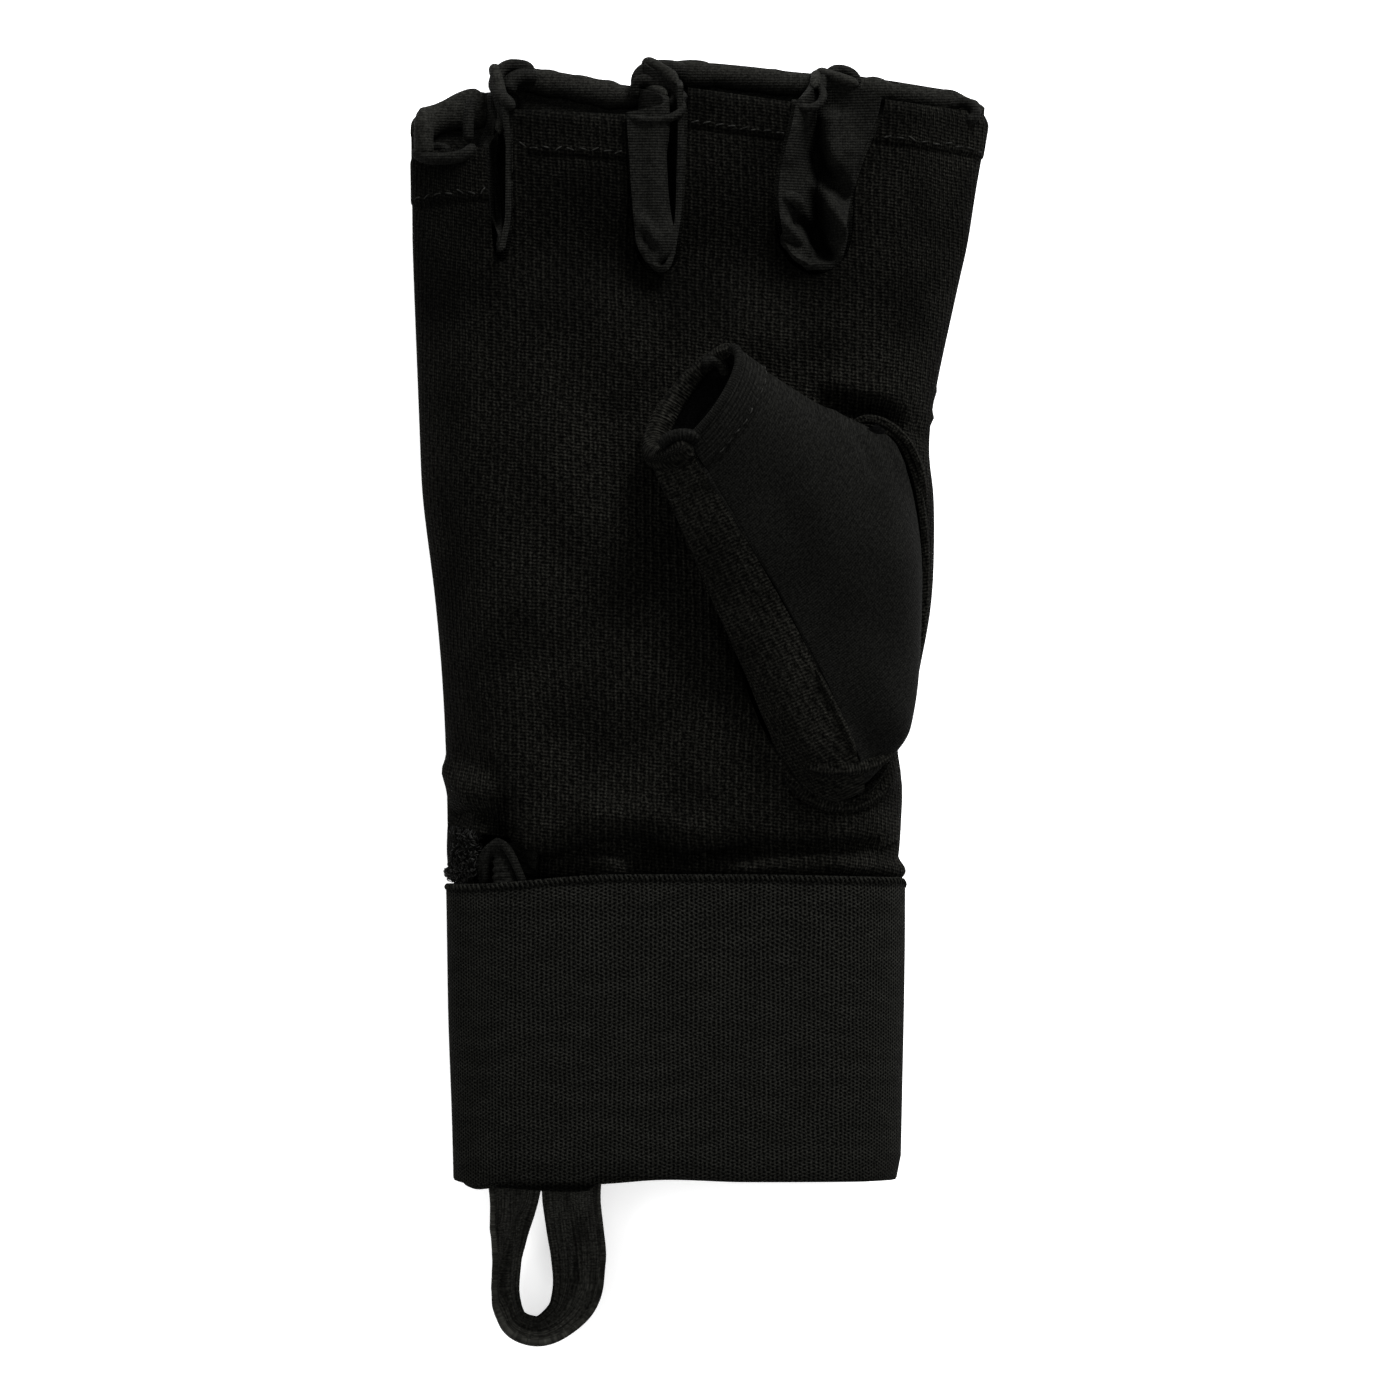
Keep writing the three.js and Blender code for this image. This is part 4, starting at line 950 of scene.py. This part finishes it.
# Curled ends of the stretch cloth: a line of points and the size of the curl
fingerCurls = {
    "ringCorner": ([(-37.2, 118.2, 16), (-39.8, 120.6, 13), (-41.2, 123.2, 9), (-40.4, 125.8, 6.4),
                    (-38.4, 127.3, 5.4), (-34.8, 127, 5.2), (-33.2, 125.2, 5.4)], 2.8),
    "ringEnd": ([(-14.8, 116.4, 17.4), (-11, 115.6, 18.2), (-6.6, 115.8, 18.2), (-3.8, 117.2, 17),
                 (-2.9, 119.2, 15), (-3.4, 121, 12), (-5, 122, 9)], 1.7),
    "ringInner": ([(-6.4, 118.6, 14), (-4.8, 119.8, 13), (-5.2, 121.4, 11), (-7.4, 121.6, 10)], 2.2),
    "middleCorner": ([(-11.8, 122.4, 6.4), (-11.7, 125.2, 5.6), (-9.8, 126.2, 5), (-6.2, 126.3, 5),
                      (-2.6, 125.4, 5)], 4.4),
    "middleStep": ([(-12.7, 120.4, 8), (-12.9, 122.6, 8), (-12.5, 124, 8.2), (-10.4, 124.2, 8.6),
                    (-8.4, 123.4, 8.8)], 2.6),
    "middleEnd": ([(18.4, 119.8, 16.4), (19.6, 118.4, 17.2), (22.2, 118, 17.2), (24, 119, 16.2),
                   (24.8, 120.8, 14.4), (24.2, 122.4, 12), (23, 123.4, 9)], 1.7),
    "indexCorner": ([(24, 121.6, 12), (24.6, 124, 9.4), (27, 126.4, 7.4), (29.8, 126, 6.6),
                     (31.6, 124.4, 6.4), (30.4, 122.2, 6.6), (29, 122.6, 6.8)], 2.3),
    "indexEnd": ([(50.4, 118.2, 10), (52, 120, 10.4), (54.2, 119.4, 10.6), (55.4, 117.8, 11),
                  (55, 116.2, 11.6), (53.2, 115.8, 12)], 2.1),
    "littleInner": ([(-45.4, 120.4, 9.4), (-46.1, 118.4, 10.6), (-46.4, 115, 11.6),
                     (-46.3, 111.6, 12.2)], 2.2),
    "littleLip": ([(-57.2, 110.2, 10.4), (-56, 108.8, 12), (-54, 108.2, 13.2), (-51, 108.1, 14),
                   (-48, 108.5, 14.8), (-46, 109.4, 14.8), (-45.2, 111, 13.8)], 2.5),
    "ringFill": ([(-38.8, 121.4, 8.4), (-38, 124, 7.2), (-35.4, 125.2, 6.2), (-32.6, 124.6, 6)], 3.4),
    "thumbInner": ([(0.6, 66.2, 27.4), (2.4, 67.8, 28), (4.6, 67, 28), (5.4, 64.4, 27)], 2.4),
    "littleEnd": ([(-55.2, 109.8, 10), (-53.4, 110.8, 10.4), (-51, 110.6, 11), (-50, 109.4, 12)], 1.8),
    "middleNub": ([(15.8, 99.2, 18), (17.4, 100.6, 19.2), (19.6, 99.8, 19), (20.2, 98, 17.6)], 2.6),
    "ringNub": ([(-7.2, 91, 18.6), (-6.4, 89.6, 19.2), (-6.2, 88.2, 18.8)], 3.0),
    "littleSlotFold": ([(-40.6, 85, 6.4), (-40.6, 91, 6), (-40.4, 99, 6), (-40.4, 108, 6)], 5.0),
    "ringSlotFold": ([(-12.4, 85, 8), (-12.6, 91, 7), (-12.4, 98, 7)], 3.4),
    "indexSlotFold": ([(23.4, 86.6, 8), (23.4, 94, 7), (23.3, 104, 7), (23.3, 114, 7),
                       (23.2, 120.6, 7)], 3.4),
}
for curlName, (points, size) in fingerCurls.items():
    rolled(curlName + "Curl", softPath(placed(points), 0.5, 6), size, size, gussetCloth,
           tip=0.12, up=Vector((0, 0.3, 0.95)))
print("curls ready")

# Thumb: smooth sleeve and knitted strip

thumbSettings = {
    "footX": 26, "footY": 10, "footZ": 22, "mouthX": -1.3, "mouthY": 59, "mouthZ": 32,
    "thickness": 1.6, "knitThickness": 2.0, "levels": 3, "heading": 29,
    "hemWidth": 6.6, "hemRise": 0.45, "hemDent": 0.4, "hemRoll": 0.2, "footRoll": 1.1,
    "knitHem": 9.0, "knitHemRise": 0.4, "knitHemDent": 0.35, "lip": 1.9, "knitLip": (5.0, 3.4), "seam": 2.0,
    "waves": 0.25, "waveSize": 14, "knitWaves": 0.3, "knitWaveSize": 9,
    "footSwell": 3.0, "gapPush": (1.7, 0.9, 0.3), "gapWidth": 3.2,
    "curl": (2.4, 2.4), "tuck": (2.0, 1.8), "cord": (1.5, 1.1), "ridge": (3.2, 2.2),
}
mouthUp = Vector((0.4, -0.9, 0))
sleeveFolds = [
    ([(30.2, 53.4), (33.5, 49.5), (35, 44)], 1.2, -0.9),
    ([(34.8, 55), (38.5, 50.5), (40.6, 45)], 1.1, 0.7),
    ([(25, 58), (28, 54.4), (31, 50)], 1.6, 0.5),
    ([(20, 44), (26, 30), (29, 16)], 6.0, 0.5),
    ([(36, 30), (35, 10)], 4.0, -0.3),
]


def fromThumbAxis(centre):
    s = thumbSettings
    foot = Vector((s["footX"], s["footY"], s["footZ"]))
    mouth = Vector((s["mouthX"], s["mouthY"], s["mouthZ"]))
    along = mouth - foot
    share = (centre / mm - foot).dot(along) / along.length_squared
    return centre / mm - (foot + along * share)


def hemShape(distance, width, rise, dent, roll):
    height = rise * ease(width + 0.4, width - 0.8, distance) - dent * bell((distance - width) / 0.6)
    return height - roll * (1 - min(1, distance / 1.8)) ** 2


def sleeveShape(co):
    s = thumbSettings
    height = hemShape(fromSleeveMouth(co), s["hemWidth"], s["hemRise"], s["hemDent"], s["hemRoll"])
    height -= s["footRoll"] * bell(fromSleeveFoot(co) / 1.6)
    height += s["waves"] * noise.noise(co / s["waveSize"])
    return height + foldHeight(sleeveFolds, co)


stripBorder = [(-0.2, 46), (8.8, 29), (18.6, 11.6), (27.6, -6), (30.4, -12.6), (32, -22)]


def footPush(co):
    # the sleeve swells over the right edge of its foot
    swell = thumbSettings["footSwell"] * ease(22, -9, co.y) * ease(3, 11, nearLine(stripBorder, co)[0])
    return Vector((swell, 0, 0.25 * swell))


sleeve = clothFrom("thumb_sleeve", "thumbSleeve", fromThumbAxis, thumbSettings["levels"], fold=70)
sleeveRuns = rimRuns(sleeve)
sleeveMouth = min(sleeveRuns, key=lambda run: (run[0] / mm - Vector((6, 70, 29))).length)
fromSleeveMouth = distanceFrom([sleeveMouth])
sleeveFoot = [point for run in sleeveRuns for point in run if point.x > 33 * mm and point.z < 24 * mm]
fromSleeveFoot = distanceFrom([sleeveFoot])
sculpt(sleeve, sleeveShape)
push(sleeve, footPush)
layOutUv(sleeve, lambda co: (co.x * 0.79 + co.y * 0.61, fromSleeveMouth(co)))
sleeveSurface = surfaceOf(sleeve)
sleeveHemLine = shifted(softPath(sleeveMouth, 1.0), sleeveSurface, thumbSettings["hemWidth"])
finishSheet(sleeve, thumbSettings["thickness"], sleeveCloth, "thumb_sleeve", even=False,
            lining=paintedShadeLining)


def stripPlace(co):
    heading = math.radians(thumbSettings["heading"])
    across = co.x * math.cos(heading) + co.y * math.sin(heading)
    along = co.y * math.cos(heading) - co.x * math.sin(heading)
    return across - max(0, 30 - co.z), along


def stripShape(co):
    s = thumbSettings
    height = hemShape(fromStripMouth(co), s["knitHem"], s["knitHemRise"], s["knitHemDent"], 0.0)
    return height + s["knitWaves"] * noise.noise(co / s["knitWaveSize"])


footGap = [(2.2, 24), (5.0, 16), (8.6, 8), (12.6, 0), (15.4, -5)]


def gapPush(co):
    # a dark gap opens under the strip's lower edge
    way = Vector(thumbSettings["gapPush"]) * bell(nearLine(footGap, co)[0] / thumbSettings["gapWidth"])
    return way * ease(30, 25, co.z)


strip = clothFrom("thumb_knit", "thumbStrip", fromThumbAxis, thumbSettings["levels"], fold=70)
stripMouth = min(rimRuns(strip), key=lambda run: (run[0] / mm - Vector((-3, 51, 36))).length)
fromStripMouth = distanceFrom([stripMouth])
sculpt(strip, stripShape)
push(strip, gapPush)
stripSurface = surfaceOf(strip)
stripHemLine = shifted(softPath(stripMouth, 1.0), stripSurface, thumbSettings["knitHem"])
layOutUv(strip, stripPlace)
finishSheet(strip, thumbSettings["knitThickness"], thumbKnit, "thumb_knit", even=False,
            lining=paintedShadeLining)

# Rolled edges of the thumb's mouth, and the seam round its foot
sleeveLip = rolled("sleeveLip", softPath(sleeveMouth, 0.8), thumbSettings["lip"], thumbSettings["lip"],
                   sleeveCloth, up=mouthUp)
lipLine = [point + Vector((1.2, -0.3, 0.9)) * mm for point in softPath(stripMouth, 0.8)]
lipShares = [ease(0.45, 1.0, k / (len(lipLine) - 1)) for k in range(len(lipLine))]
lipSizes = [mix(*thumbSettings["knitLip"], share) for share in lipShares]
knitLip = rolled("knitLip", lipLine, lipSizes, lipSizes, lipKnit, up=mouthUp)
mouthCurl = [(0.2, 51.6, 36.6), (-2, 52.6, 37), (-4.6, 52.6, 36.8), (-6.8, 51.6, 36.2), (-7.8, 50, 35.4)]
rolled("mouthCurl", softPath(placed(mouthCurl), 0.5, 6), *thumbSettings["curl"], sleeveCloth, tip=0.15)
holeRun = evenly(next(run for run in palmRuns if (run[0] - run[-1]).length < 2 * mm), 1.0)
start = max(range(len(holeRun)), key=lambda k: -holeRun[k].x)
holeRun = holeRun[start:] + holeRun[:start]
seamRun = [point + Vector((0.4, 0, 0.3)) * mm for point in holeRun if point.x > 30 * mm]
rolled("thumbSeam", smoothPath(seamRun), thumbSettings["seam"], thumbSettings["seam"], lipKnit)
tuckLine = [(29.6, 54.6, 21.6), (33, 56.4, 21.4), (37.6, 55, 20.6), (41.6, 51.4, 19.2), (44, 46, 17.6),
            (45, 38, 16)]
rolled("thumbTuck", softPath(placed(tuckLine), 0.8, 8), *thumbSettings["tuck"], lipKnit, tip=0.2)


def laidOn(surfaces, line, lift=0.0):
    # a line of points in plan, dropped onto the highest of some surfaces
    laid = []
    for x, y in line:
        hits = [s.ray_cast(Vector((x, y, 90)) * mm, -upward)[0] for s in surfaces]
        laid.append(Vector((x, y, max(hit.z for hit in hits if hit) / mm + lift)) * mm)
    return laid


borderLine = laidOn([sleeveSurface, stripSurface], [(23, 6), (26, 0), (29.2, -6.4), (31, -11)])
rolled("thumbBorderCord", softPath(borderLine, 0.6, 10), *thumbSettings["cord"], thumbKnit, tip=0.2)
footRidges = {
    "upper": [(20, -12.4), (23.4, -13.8), (29, -13.6), (34.6, -12.6), (38.6, -10.4)],
    "lower": [(16.6, -14.8), (20.6, -18.6), (24.8, -20.6), (30.4, -21.2), (37, -18)],
}
for ridgeName, ridgeLine in footRidges.items():
    line = softPath(laidOn([palmSurface, stripSurface, sleeveSurface], ridgeLine, -0.2), 0.6, 12)
    rolled("thumbFoot" + ridgeName.title(), line, *thumbSettings["ridge"], lipKnit, tip=0.3)

# A thin roll of cloth fills the seam between sleeve and strip
seamSettings = {"aside": 1.3, "sink": 0.55, "wide": 1.5, "high": 0.9, "tip": 0.1}
seamLine = [(-0.9, 48.0), (4, 40.6), (10, 31.4), (15, 23.7), (19, 16.2), (22, 9.6), (26, 0.6), (30.6, -9.6)]
seamPoints = []
for x, y in seamLine:  # the surfaces stop at the seam, so the height comes from both sides of it
    places = [Vector((x + aside, y, 90)) * mm for aside in (-seamSettings["aside"], seamSettings["aside"])]
    hits = [s.ray_cast(place, -upward)[0] for place in places for s in (sleeveSurface, stripSurface)]
    heights = [hit.z for hit in hits if hit]
    if heights:
        seamPoints.append(Vector((x * mm, y * mm, max(heights) - seamSettings["sink"] * mm)))
rolled("thumbSeamFill", softPath(seamPoints, 0.6, 8), seamSettings["wide"], seamSettings["high"],
       sleeveCloth, tip=seamSettings["tip"])
print("thumb ready")

# Wrist strap, its hook tab, the pile patch, the vent and the pull loop

strapSettings = {"thickness": 1.5, "waves": 0.25, "waveSize": 26, "topRise": 2.0, "lowRise": 1.3,
                 "lowDip": 0.8, "cornerIn": 0.9, "seam": 0.7, "tabThickness": 1.2, "tabSeam": 2.2}
strap = clothFrom("wrist_strap", "strap", lambda c: Vector((c.x + 5 * mm, 0, c.z - 12 * mm)))


def strapRise(co):
    # the upper edge arches over the cuff
    rise = strapSettings["topRise"] * ease(-48, -16, co.x) * (1 - 0.35 * ease(8, 46, co.x))
    return rise * ease(-56, -38, co.y) * ease(9, 15, co.z)


def strapEase(co):
    # the lower edge runs a little higher to the right of the loop, and dips at the left corner
    rise = strapSettings["lowRise"] * ease(-22.5, -20.5, co.x) * ease(10, -12, co.x)
    rise -= strapSettings["lowDip"] * bell((co.x + 45) / 3)
    return rise * ease(-86, -97, co.y) * ease(9, 15, co.z)


def strapCorner(co):
    # the lower right corner draws in
    return Vector((-strapSettings["cornerIn"], 0, 0)) * ease(-92.5, -96.5, co.y) * ease(32, 37, co.x)


push(strap, lambda co: Vector((0, strapRise(co) + strapEase(co), 0)))
push(strap, strapCorner)
longRims = sorted(rimRuns(strap), key=len)[-2:]
strapTop = max(longRims, key=lambda run: middleOf(run).y)
sculpt(strap, lambda co: strapSettings["waves"] * noise.noise(co / strapSettings["waveSize"]))
strapSurface = surfaceOf(strap)
strapTopLine = shifted(evenly(strapTop, 1.0), strapSurface, strapSettings["seam"])
layOutUv(strap, lambda co: (sideFold(co, palmSettings["sideDrop"], -50, 40), co.y - strapRise(co)))
finishSheet(strap, strapSettings["thickness"], bandCloth, "wrist_strap")

tab = clothFrom("hook_tab", "hookTab", lambda c: -upward)
tabSurface = surfaceOf(tab)
tabEdges = [evenly(run, 1.0)[2:-2] for run in rimRuns(tab)]
tabSeamLines = [shifted(edge, tabSurface, strapSettings["tabSeam"]) for edge in tabEdges]
finishSheet(tab, strapSettings["tabThickness"], pileCloth, "hook_tab")

patchSettings = {"thickness": 1.6, "lean": 0.3, "bulge": 1.2, "pitch": 0.85, "spread": 0.9,
                 "size": (0.45, 0.4), "thread": 0.13, "rings": 7, "sides": 4}


def patchPush(co):
    # the pile stands out at the side, most just above the strap
    lean = patchSettings["lean"] * ease(-36.9, -35.4, co.y) * ease(-24, -31, co.y)
    lean += patchSettings["bulge"] * bell((co.y + 35.3) / 1.2)
    return Vector((-lean * ease(17, 14, co.z), 0, 0))


patch = clothFrom("loop_patch", "loopPatch", lambda c: Vector((-1, 0, 1)))
push(patch, patchPush)
finishSheet(patch, patchSettings["thickness"], pileCloth, "loop_patch")


def hasPile(co):
    # the part of the patch that shows above the strap
    return co.y > -37.2 and co.x > (-49.4 if co.y > -34 else -50.4)


def pileLoops(name, piece):
    # small standing loops of thread, turned every way, over the faces that show
    s = patchSettings
    points, faces, spots = [], [], []
    for face in piece.data.polygons:
        if not hasPile(face.center / mm):
            continue
        for k in range(max(1, round(face.area / (s["pitch"] * mm) ** 2))):
            seed = Vector((face.index * 0.37 + k * 1.7, k * 0.61, face.index * 0.11))
            shake = noise.noise_vector(seed * 3.3)
            aside = (shake - face.normal * shake.dot(face.normal)) * s["spread"] * mm
            spots.append((face.center + aside, face.normal, shake))
    for spot, normal, shake in spots:
        side = (normal.cross(shake) + shake * 0.4).normalized()
        size = s["size"][0] + s["size"][1] * abs(shake.x)
        faces += tubeFaces(len(points), s["rings"], s["sides"])
        for ring in range(s["rings"]):
            way = math.pi * (ring / (s["rings"] - 1) * 1.5 - 0.25)
            centre = spot + (side * math.cos(way) + normal * (math.sin(way) + 0.3)) * size * mm
            out = side * math.cos(way) + normal * math.sin(way)
            flat = out.cross(side.cross(normal)).normalized().cross(out)
            for m in range(s["sides"]):
                angle = 2 * math.pi * m / s["sides"]
                points.append(centre + (out * math.cos(angle) + flat * math.sin(angle)) * s["thread"] * mm)
    loops = newPiece(name, points, faces)
    faceOutward(loops)
    smoothShade(loops, 80)
    print(name, len(spots))
    return finishPiece(loops, curlThread)


patchLoops = pileLoops("patchLoops", patch)

ventSettings = {"thickness": 1.2, "rise": 0.9, "ribPitch": 1.5, "ribRise": 0.3, "tube": 1.7,
                "puffSizes": (2.4, 5.6), "puffRib": 0.35, "puffFlat": 0.62, "step": 0.25}
ribTurn = 2 * math.pi / ventSettings["ribPitch"]


def goreShape(co):
    return ventSettings["rise"] + ventSettings["ribRise"] * math.sin((co.y + 0.4 * co.x) * ribTurn)


gore = clothFrom("vent_gore", "ventGore", lambda c: upward, 3)
sculpt(gore, goreShape)
finishSheet(gore, ventSettings["thickness"], gussetCloth, "vent_gore")

binding = clothFrom("vent_binding", "ventBinding", lambda c: upward, fold=89)
smoothShade(binding)
finishPiece(binding, gussetCloth, "vent_binding")
tubePoints = [(-42.6, -36.6, 16.6), (-42.9, -33, 17.6), (-42, -29.6, 18.8), (-40.2, -28, 19.6),
              (-38.4, -29.4, 20), (-36.8, -32.6, 20.2), (-35.2, -36.6, 20.4)]
rolled("ventTube", softPath(placed(tubePoints), 0.6, 6), ventSettings["tube"], ventSettings["tube"],
       gussetCloth, tip=0.03)
puffPoints = [(-40, -28.8, 18.4), (-39.4, -32, 18.8), (-38.6, -36.8, 18.8)]
puffLine = evenly(placed(puffPoints), ventSettings["step"])
puffSizes = []
for k in range(len(puffLine)):
    size = mix(*ventSettings["puffSizes"], k / (len(puffLine) - 1))
    puffSizes.append(size + ventSettings["puffRib"] * math.sin(k * ventSettings["step"] * ribTurn))
puffHeights = [ventSettings["puffFlat"] * size for size in puffSizes]
rolled("ventPuff", puffLine, puffSizes, puffHeights, gussetCloth, tip=0.08)

loopSettings = {"thickness": 1.2, "pleats": 3, "pleatRise": 0.5, "width": 11.0}
loopCreases = [
    ([(-34.8, -101), (-36.1, -104.9), (-37.8, -108.8), (-38.7, -113), (-39.1, -119), (-39.6, -121.4)],
     0.9, -1.7),
    ([(-39.4, -103.6), (-39.8, -105), (-40.2, -106.4)], 0.6, -0.5),
    ([(-28.4, -99), (-26.5, -104.6), (-25.3, -108.8), (-24.6, -114.8), (-23.7, -119.6)], 0.7, -1.0),
    ([(-30, -99), (-29.2, -106), (-28.2, -114), (-28.4, -121)], 0.7, 0.5),
    ([(-22.6, -104), (-21.8, -112), (-22.6, -118)], 0.8, -0.4),
    ([(-37.4, -101), (-39, -107), (-39.8, -113)], 0.7, 0.6),
]
loop = clothFrom("pull_loop", "pullLoop", lambda c: upward)
tape = tapePlace(sorted(rimRuns(loop), key=len)[-1])
pleatTurn = 2 * math.pi * loopSettings["pleats"] / loopSettings["width"]


def loopPush(co):
    # the lower end is a little longer and leans to the right
    return Vector((0.12 + 0.1 * max(-2, co.x + 32), -0.9, 0)) * ease(-114, -124, co.y)


layOutUv(loop, tape)
sculpt(loop, lambda co: loopSettings["pleatRise"] * math.cos(tape(co)[0] * pleatTurn))
sculpt(loop, lambda co: foldHeight(loopCreases, co))
push(loop, loopPush)
loopSurface = surfaceOf(loop)
finishSheet(loop, loopSettings["thickness"], tapeCloth, "pull_loop")

padSettings = {"voxel": 3.0, "shrink": 0.97, "pressure": 4.0, "frames": 20, "cap": 1.4, "foot": 0.25}
padChannels = [([(x, 50), (x, 96)], 1.0, -1.1) for x in (-26, -3, 20)] + [([(-52, 73), (46, 73)], 0.8, -0.6)]
pad = clothFrom("knuckle_pad", "knucklePad", lambda c: -upward, 0, fold=179)
middle = sum((v.co for v in pad.data.vertices), Vector()) / len(pad.data.vertices)
for vertex in pad.data.vertices:
    vertex.co = middle + (vertex.co - middle) * padSettings["shrink"]
applyModifier(pad, "REMESH", mode="VOXEL", voxel_size=padSettings["voxel"] * mm)
before = [vertex.co.copy() for vertex in pad.data.vertices]
swell = pad.modifiers.new("Swell", "CLOTH")
swell.settings.use_pressure = True
swell.settings.uniform_pressure_force = padSettings["pressure"]
swell.settings.effector_weights.gravity = 0
for step in range(padSettings["frames"]):
    bpy.context.scene.frame_set(step + 1)
makeActive(pad)
bpy.ops.object.modifier_apply(modifier=swell.name)
bpy.context.scene.frame_set(1)
for vertex, start in zip(pad.data.vertices, before):
    move = vertex.co - start
    vertex.co = start + move * min(1, padSettings["cap"] * mm / max(move.length, 1e-9))
applyModifier(pad, "SUBSURF", levels=1, render_levels=1)
sculpt(pad, lambda co: foldHeight(padChannels, co))
keepAbove(pad, padSettings["foot"])  # it lies flat on its lower face
smoothShade(pad)
finishPiece(pad, backCloth, "knuckle_pad")
print("strap, fastener and loop ready")

# Stitching

topStitches = stitches("strapTopStitches", [strapTopLine], strapSurface, "strap_elastic", bandThread,
                       pitch=1.0, length=1.4, thick=0.46, lift=0.15, turn=-62)
hemStitches = stitches("palmHemStitches", palmHemLines, palmSurface, "palm_knit")
sleeveStitches = stitches("sleeveHemStitches", [sleeveHemLine], sleeveSurface, "smooth_cloth", pitch=2.4)
loopSeamLine = laidOn([loopSurface], [(-26.8, -104), (-26, -109), (-25.4, -115)])
loopStitches = stitches("loopStitches", [loopSeamLine], loopSurface, "loop_tape", pitch=0.9, length=1.0,
                        thick=0.22, turn=40)
tabStitches = stitches("hookTabStitches", tabSeamLines, tabSurface, "fastener_pile", pitch=2.2, length=1.6)
keepAbove(tabStitches, 0.05)
backStitches = stitches("backSeamStitches", backSeamLines, backSurface, "smooth_cloth")
stripStitches = stitches("stripHemStitches", [stripHemLine[4:-30]], stripSurface, "palm_knit", pitch=2.4)

# Flat sizes of the cloth, width and length in metres
sheets = [
    (palm, (0.122, 0.218), 0.0200, "laid", ["back_panel"], [hemStitches]),
    (back, (0.120, 0.226), 0.0232, "laid", ["knuckle_pad"], [backStitches]),
    (sleeve, (0.062, 0.084), 0.0031, "draped", ["palm_panel"], [sleeveStitches, sleeveLip]),
    (strip, (0.032, 0.092), 0.0024, "draped", ["palm_panel"], [stripStitches, knitLip]),
    (strap, (0.380, 0.060), None, "stretched", ["palm_panel", "back_panel"], [topStitches]),
    (tab, (0.047, 0.047), None, "laid", ["wrist_strap"], [tabStitches]),
    (patch, (0.011, 0.034), 0.0002, "laid", ["palm_panel"], [patchLoops]),
    (gore, (0.015, 0.032), 0.00045, "stretched", ["palm_panel"], []),
    (loop, (0.011, 0.120), None, "folded", ["wrist_strap"], [loopStitches]),
    (gussets["little_ring"], (0.013, 0.078), None, "folded", ["back_panel", "palm_panel"], []),
    (gussets["ring_middle"], (0.020, 0.084), None, "folded", ["back_panel", "palm_panel"], []),
    (gussets["middle_index"], (0.020, 0.086), None, "folded", ["back_panel", "palm_panel"], []),
]
for cloth, flatSize, area, held, carriers, extras in sheets:
    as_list(carriers)
    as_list(extras)
print("sheets declared", len(sheets))

# Floor, light and camera

stageSettings = {
    "floorSize": 6.0, "floorColour": (0.88, 0.88, 0.88), "glow": 0.5, "sky": 0.66,
    "view": 280.0, "distance": 2500.0, "aimZ": 12.0, "sensor": 36,
}
bpy.ops.mesh.primitive_plane_add(size=stageSettings["floorSize"], location=(0, 0, 0))
floor = bpy.context.object
floor.name = "floor"
floorPaint = bpy.data.materials.new("paleFloor")
floorPaint.use_nodes = True
floorInputs = floorPaint.node_tree.nodes["Principled BSDF"].inputs
floorInputs["Base Color"].default_value = (*stageSettings["floorColour"], 1)
floorInputs["Roughness"].default_value = 0.9
floorInputs["Emission Color"].default_value = (1, 1, 1, 1)
floorInputs["Emission Strength"].default_value = stageSettings["glow"]
floor.data.materials.append(floorPaint)

lights = [
    {"name": "keyLight", "at": (0.6, 1.6, 0.55), "size": 0.7, "power": 105},
    {"name": "rightLight", "at": (1.3, -0.2, 0.8), "size": 0.9, "power": 8},
    {"name": "leftLight", "at": (-1.3, 0.1, 0.9), "size": 0.9, "power": 12},
]
for light in lights:
    data = bpy.data.lights.new(light["name"], "AREA")
    data.size = light["size"]
    data.energy = light["power"]
    lamp = addObject(light["name"], data)
    lamp.location = light["at"]
    lamp.rotation_mode = "QUATERNION"
    lamp.rotation_quaternion = (-Vector(light["at"])).to_track_quat("-Z", "Y")

world = bpy.data.worlds.new("softSky")
world.use_nodes = True
world.node_tree.nodes["Background"].inputs["Color"].default_value = (1, 1, 1, 1)
world.node_tree.nodes["Background"].inputs["Strength"].default_value = stageSettings["sky"]
bpy.context.scene.world = world

cameraData = bpy.data.cameras.new("camera")
camera = addObject("camera", cameraData)
camera.location = (0, 0, (stageSettings["distance"] + stageSettings["aimZ"]) * mm)
cameraData.sensor_width = stageSettings["sensor"]
cameraData.lens = stageSettings["sensor"] * stageSettings["distance"] / stageSettings["view"]
cameraData.clip_start, cameraData.clip_end = 0.1, 10
bpy.context.scene.camera = camera
bpy.context.scene.view_settings.view_transform = "Standard"

print("scene ready")
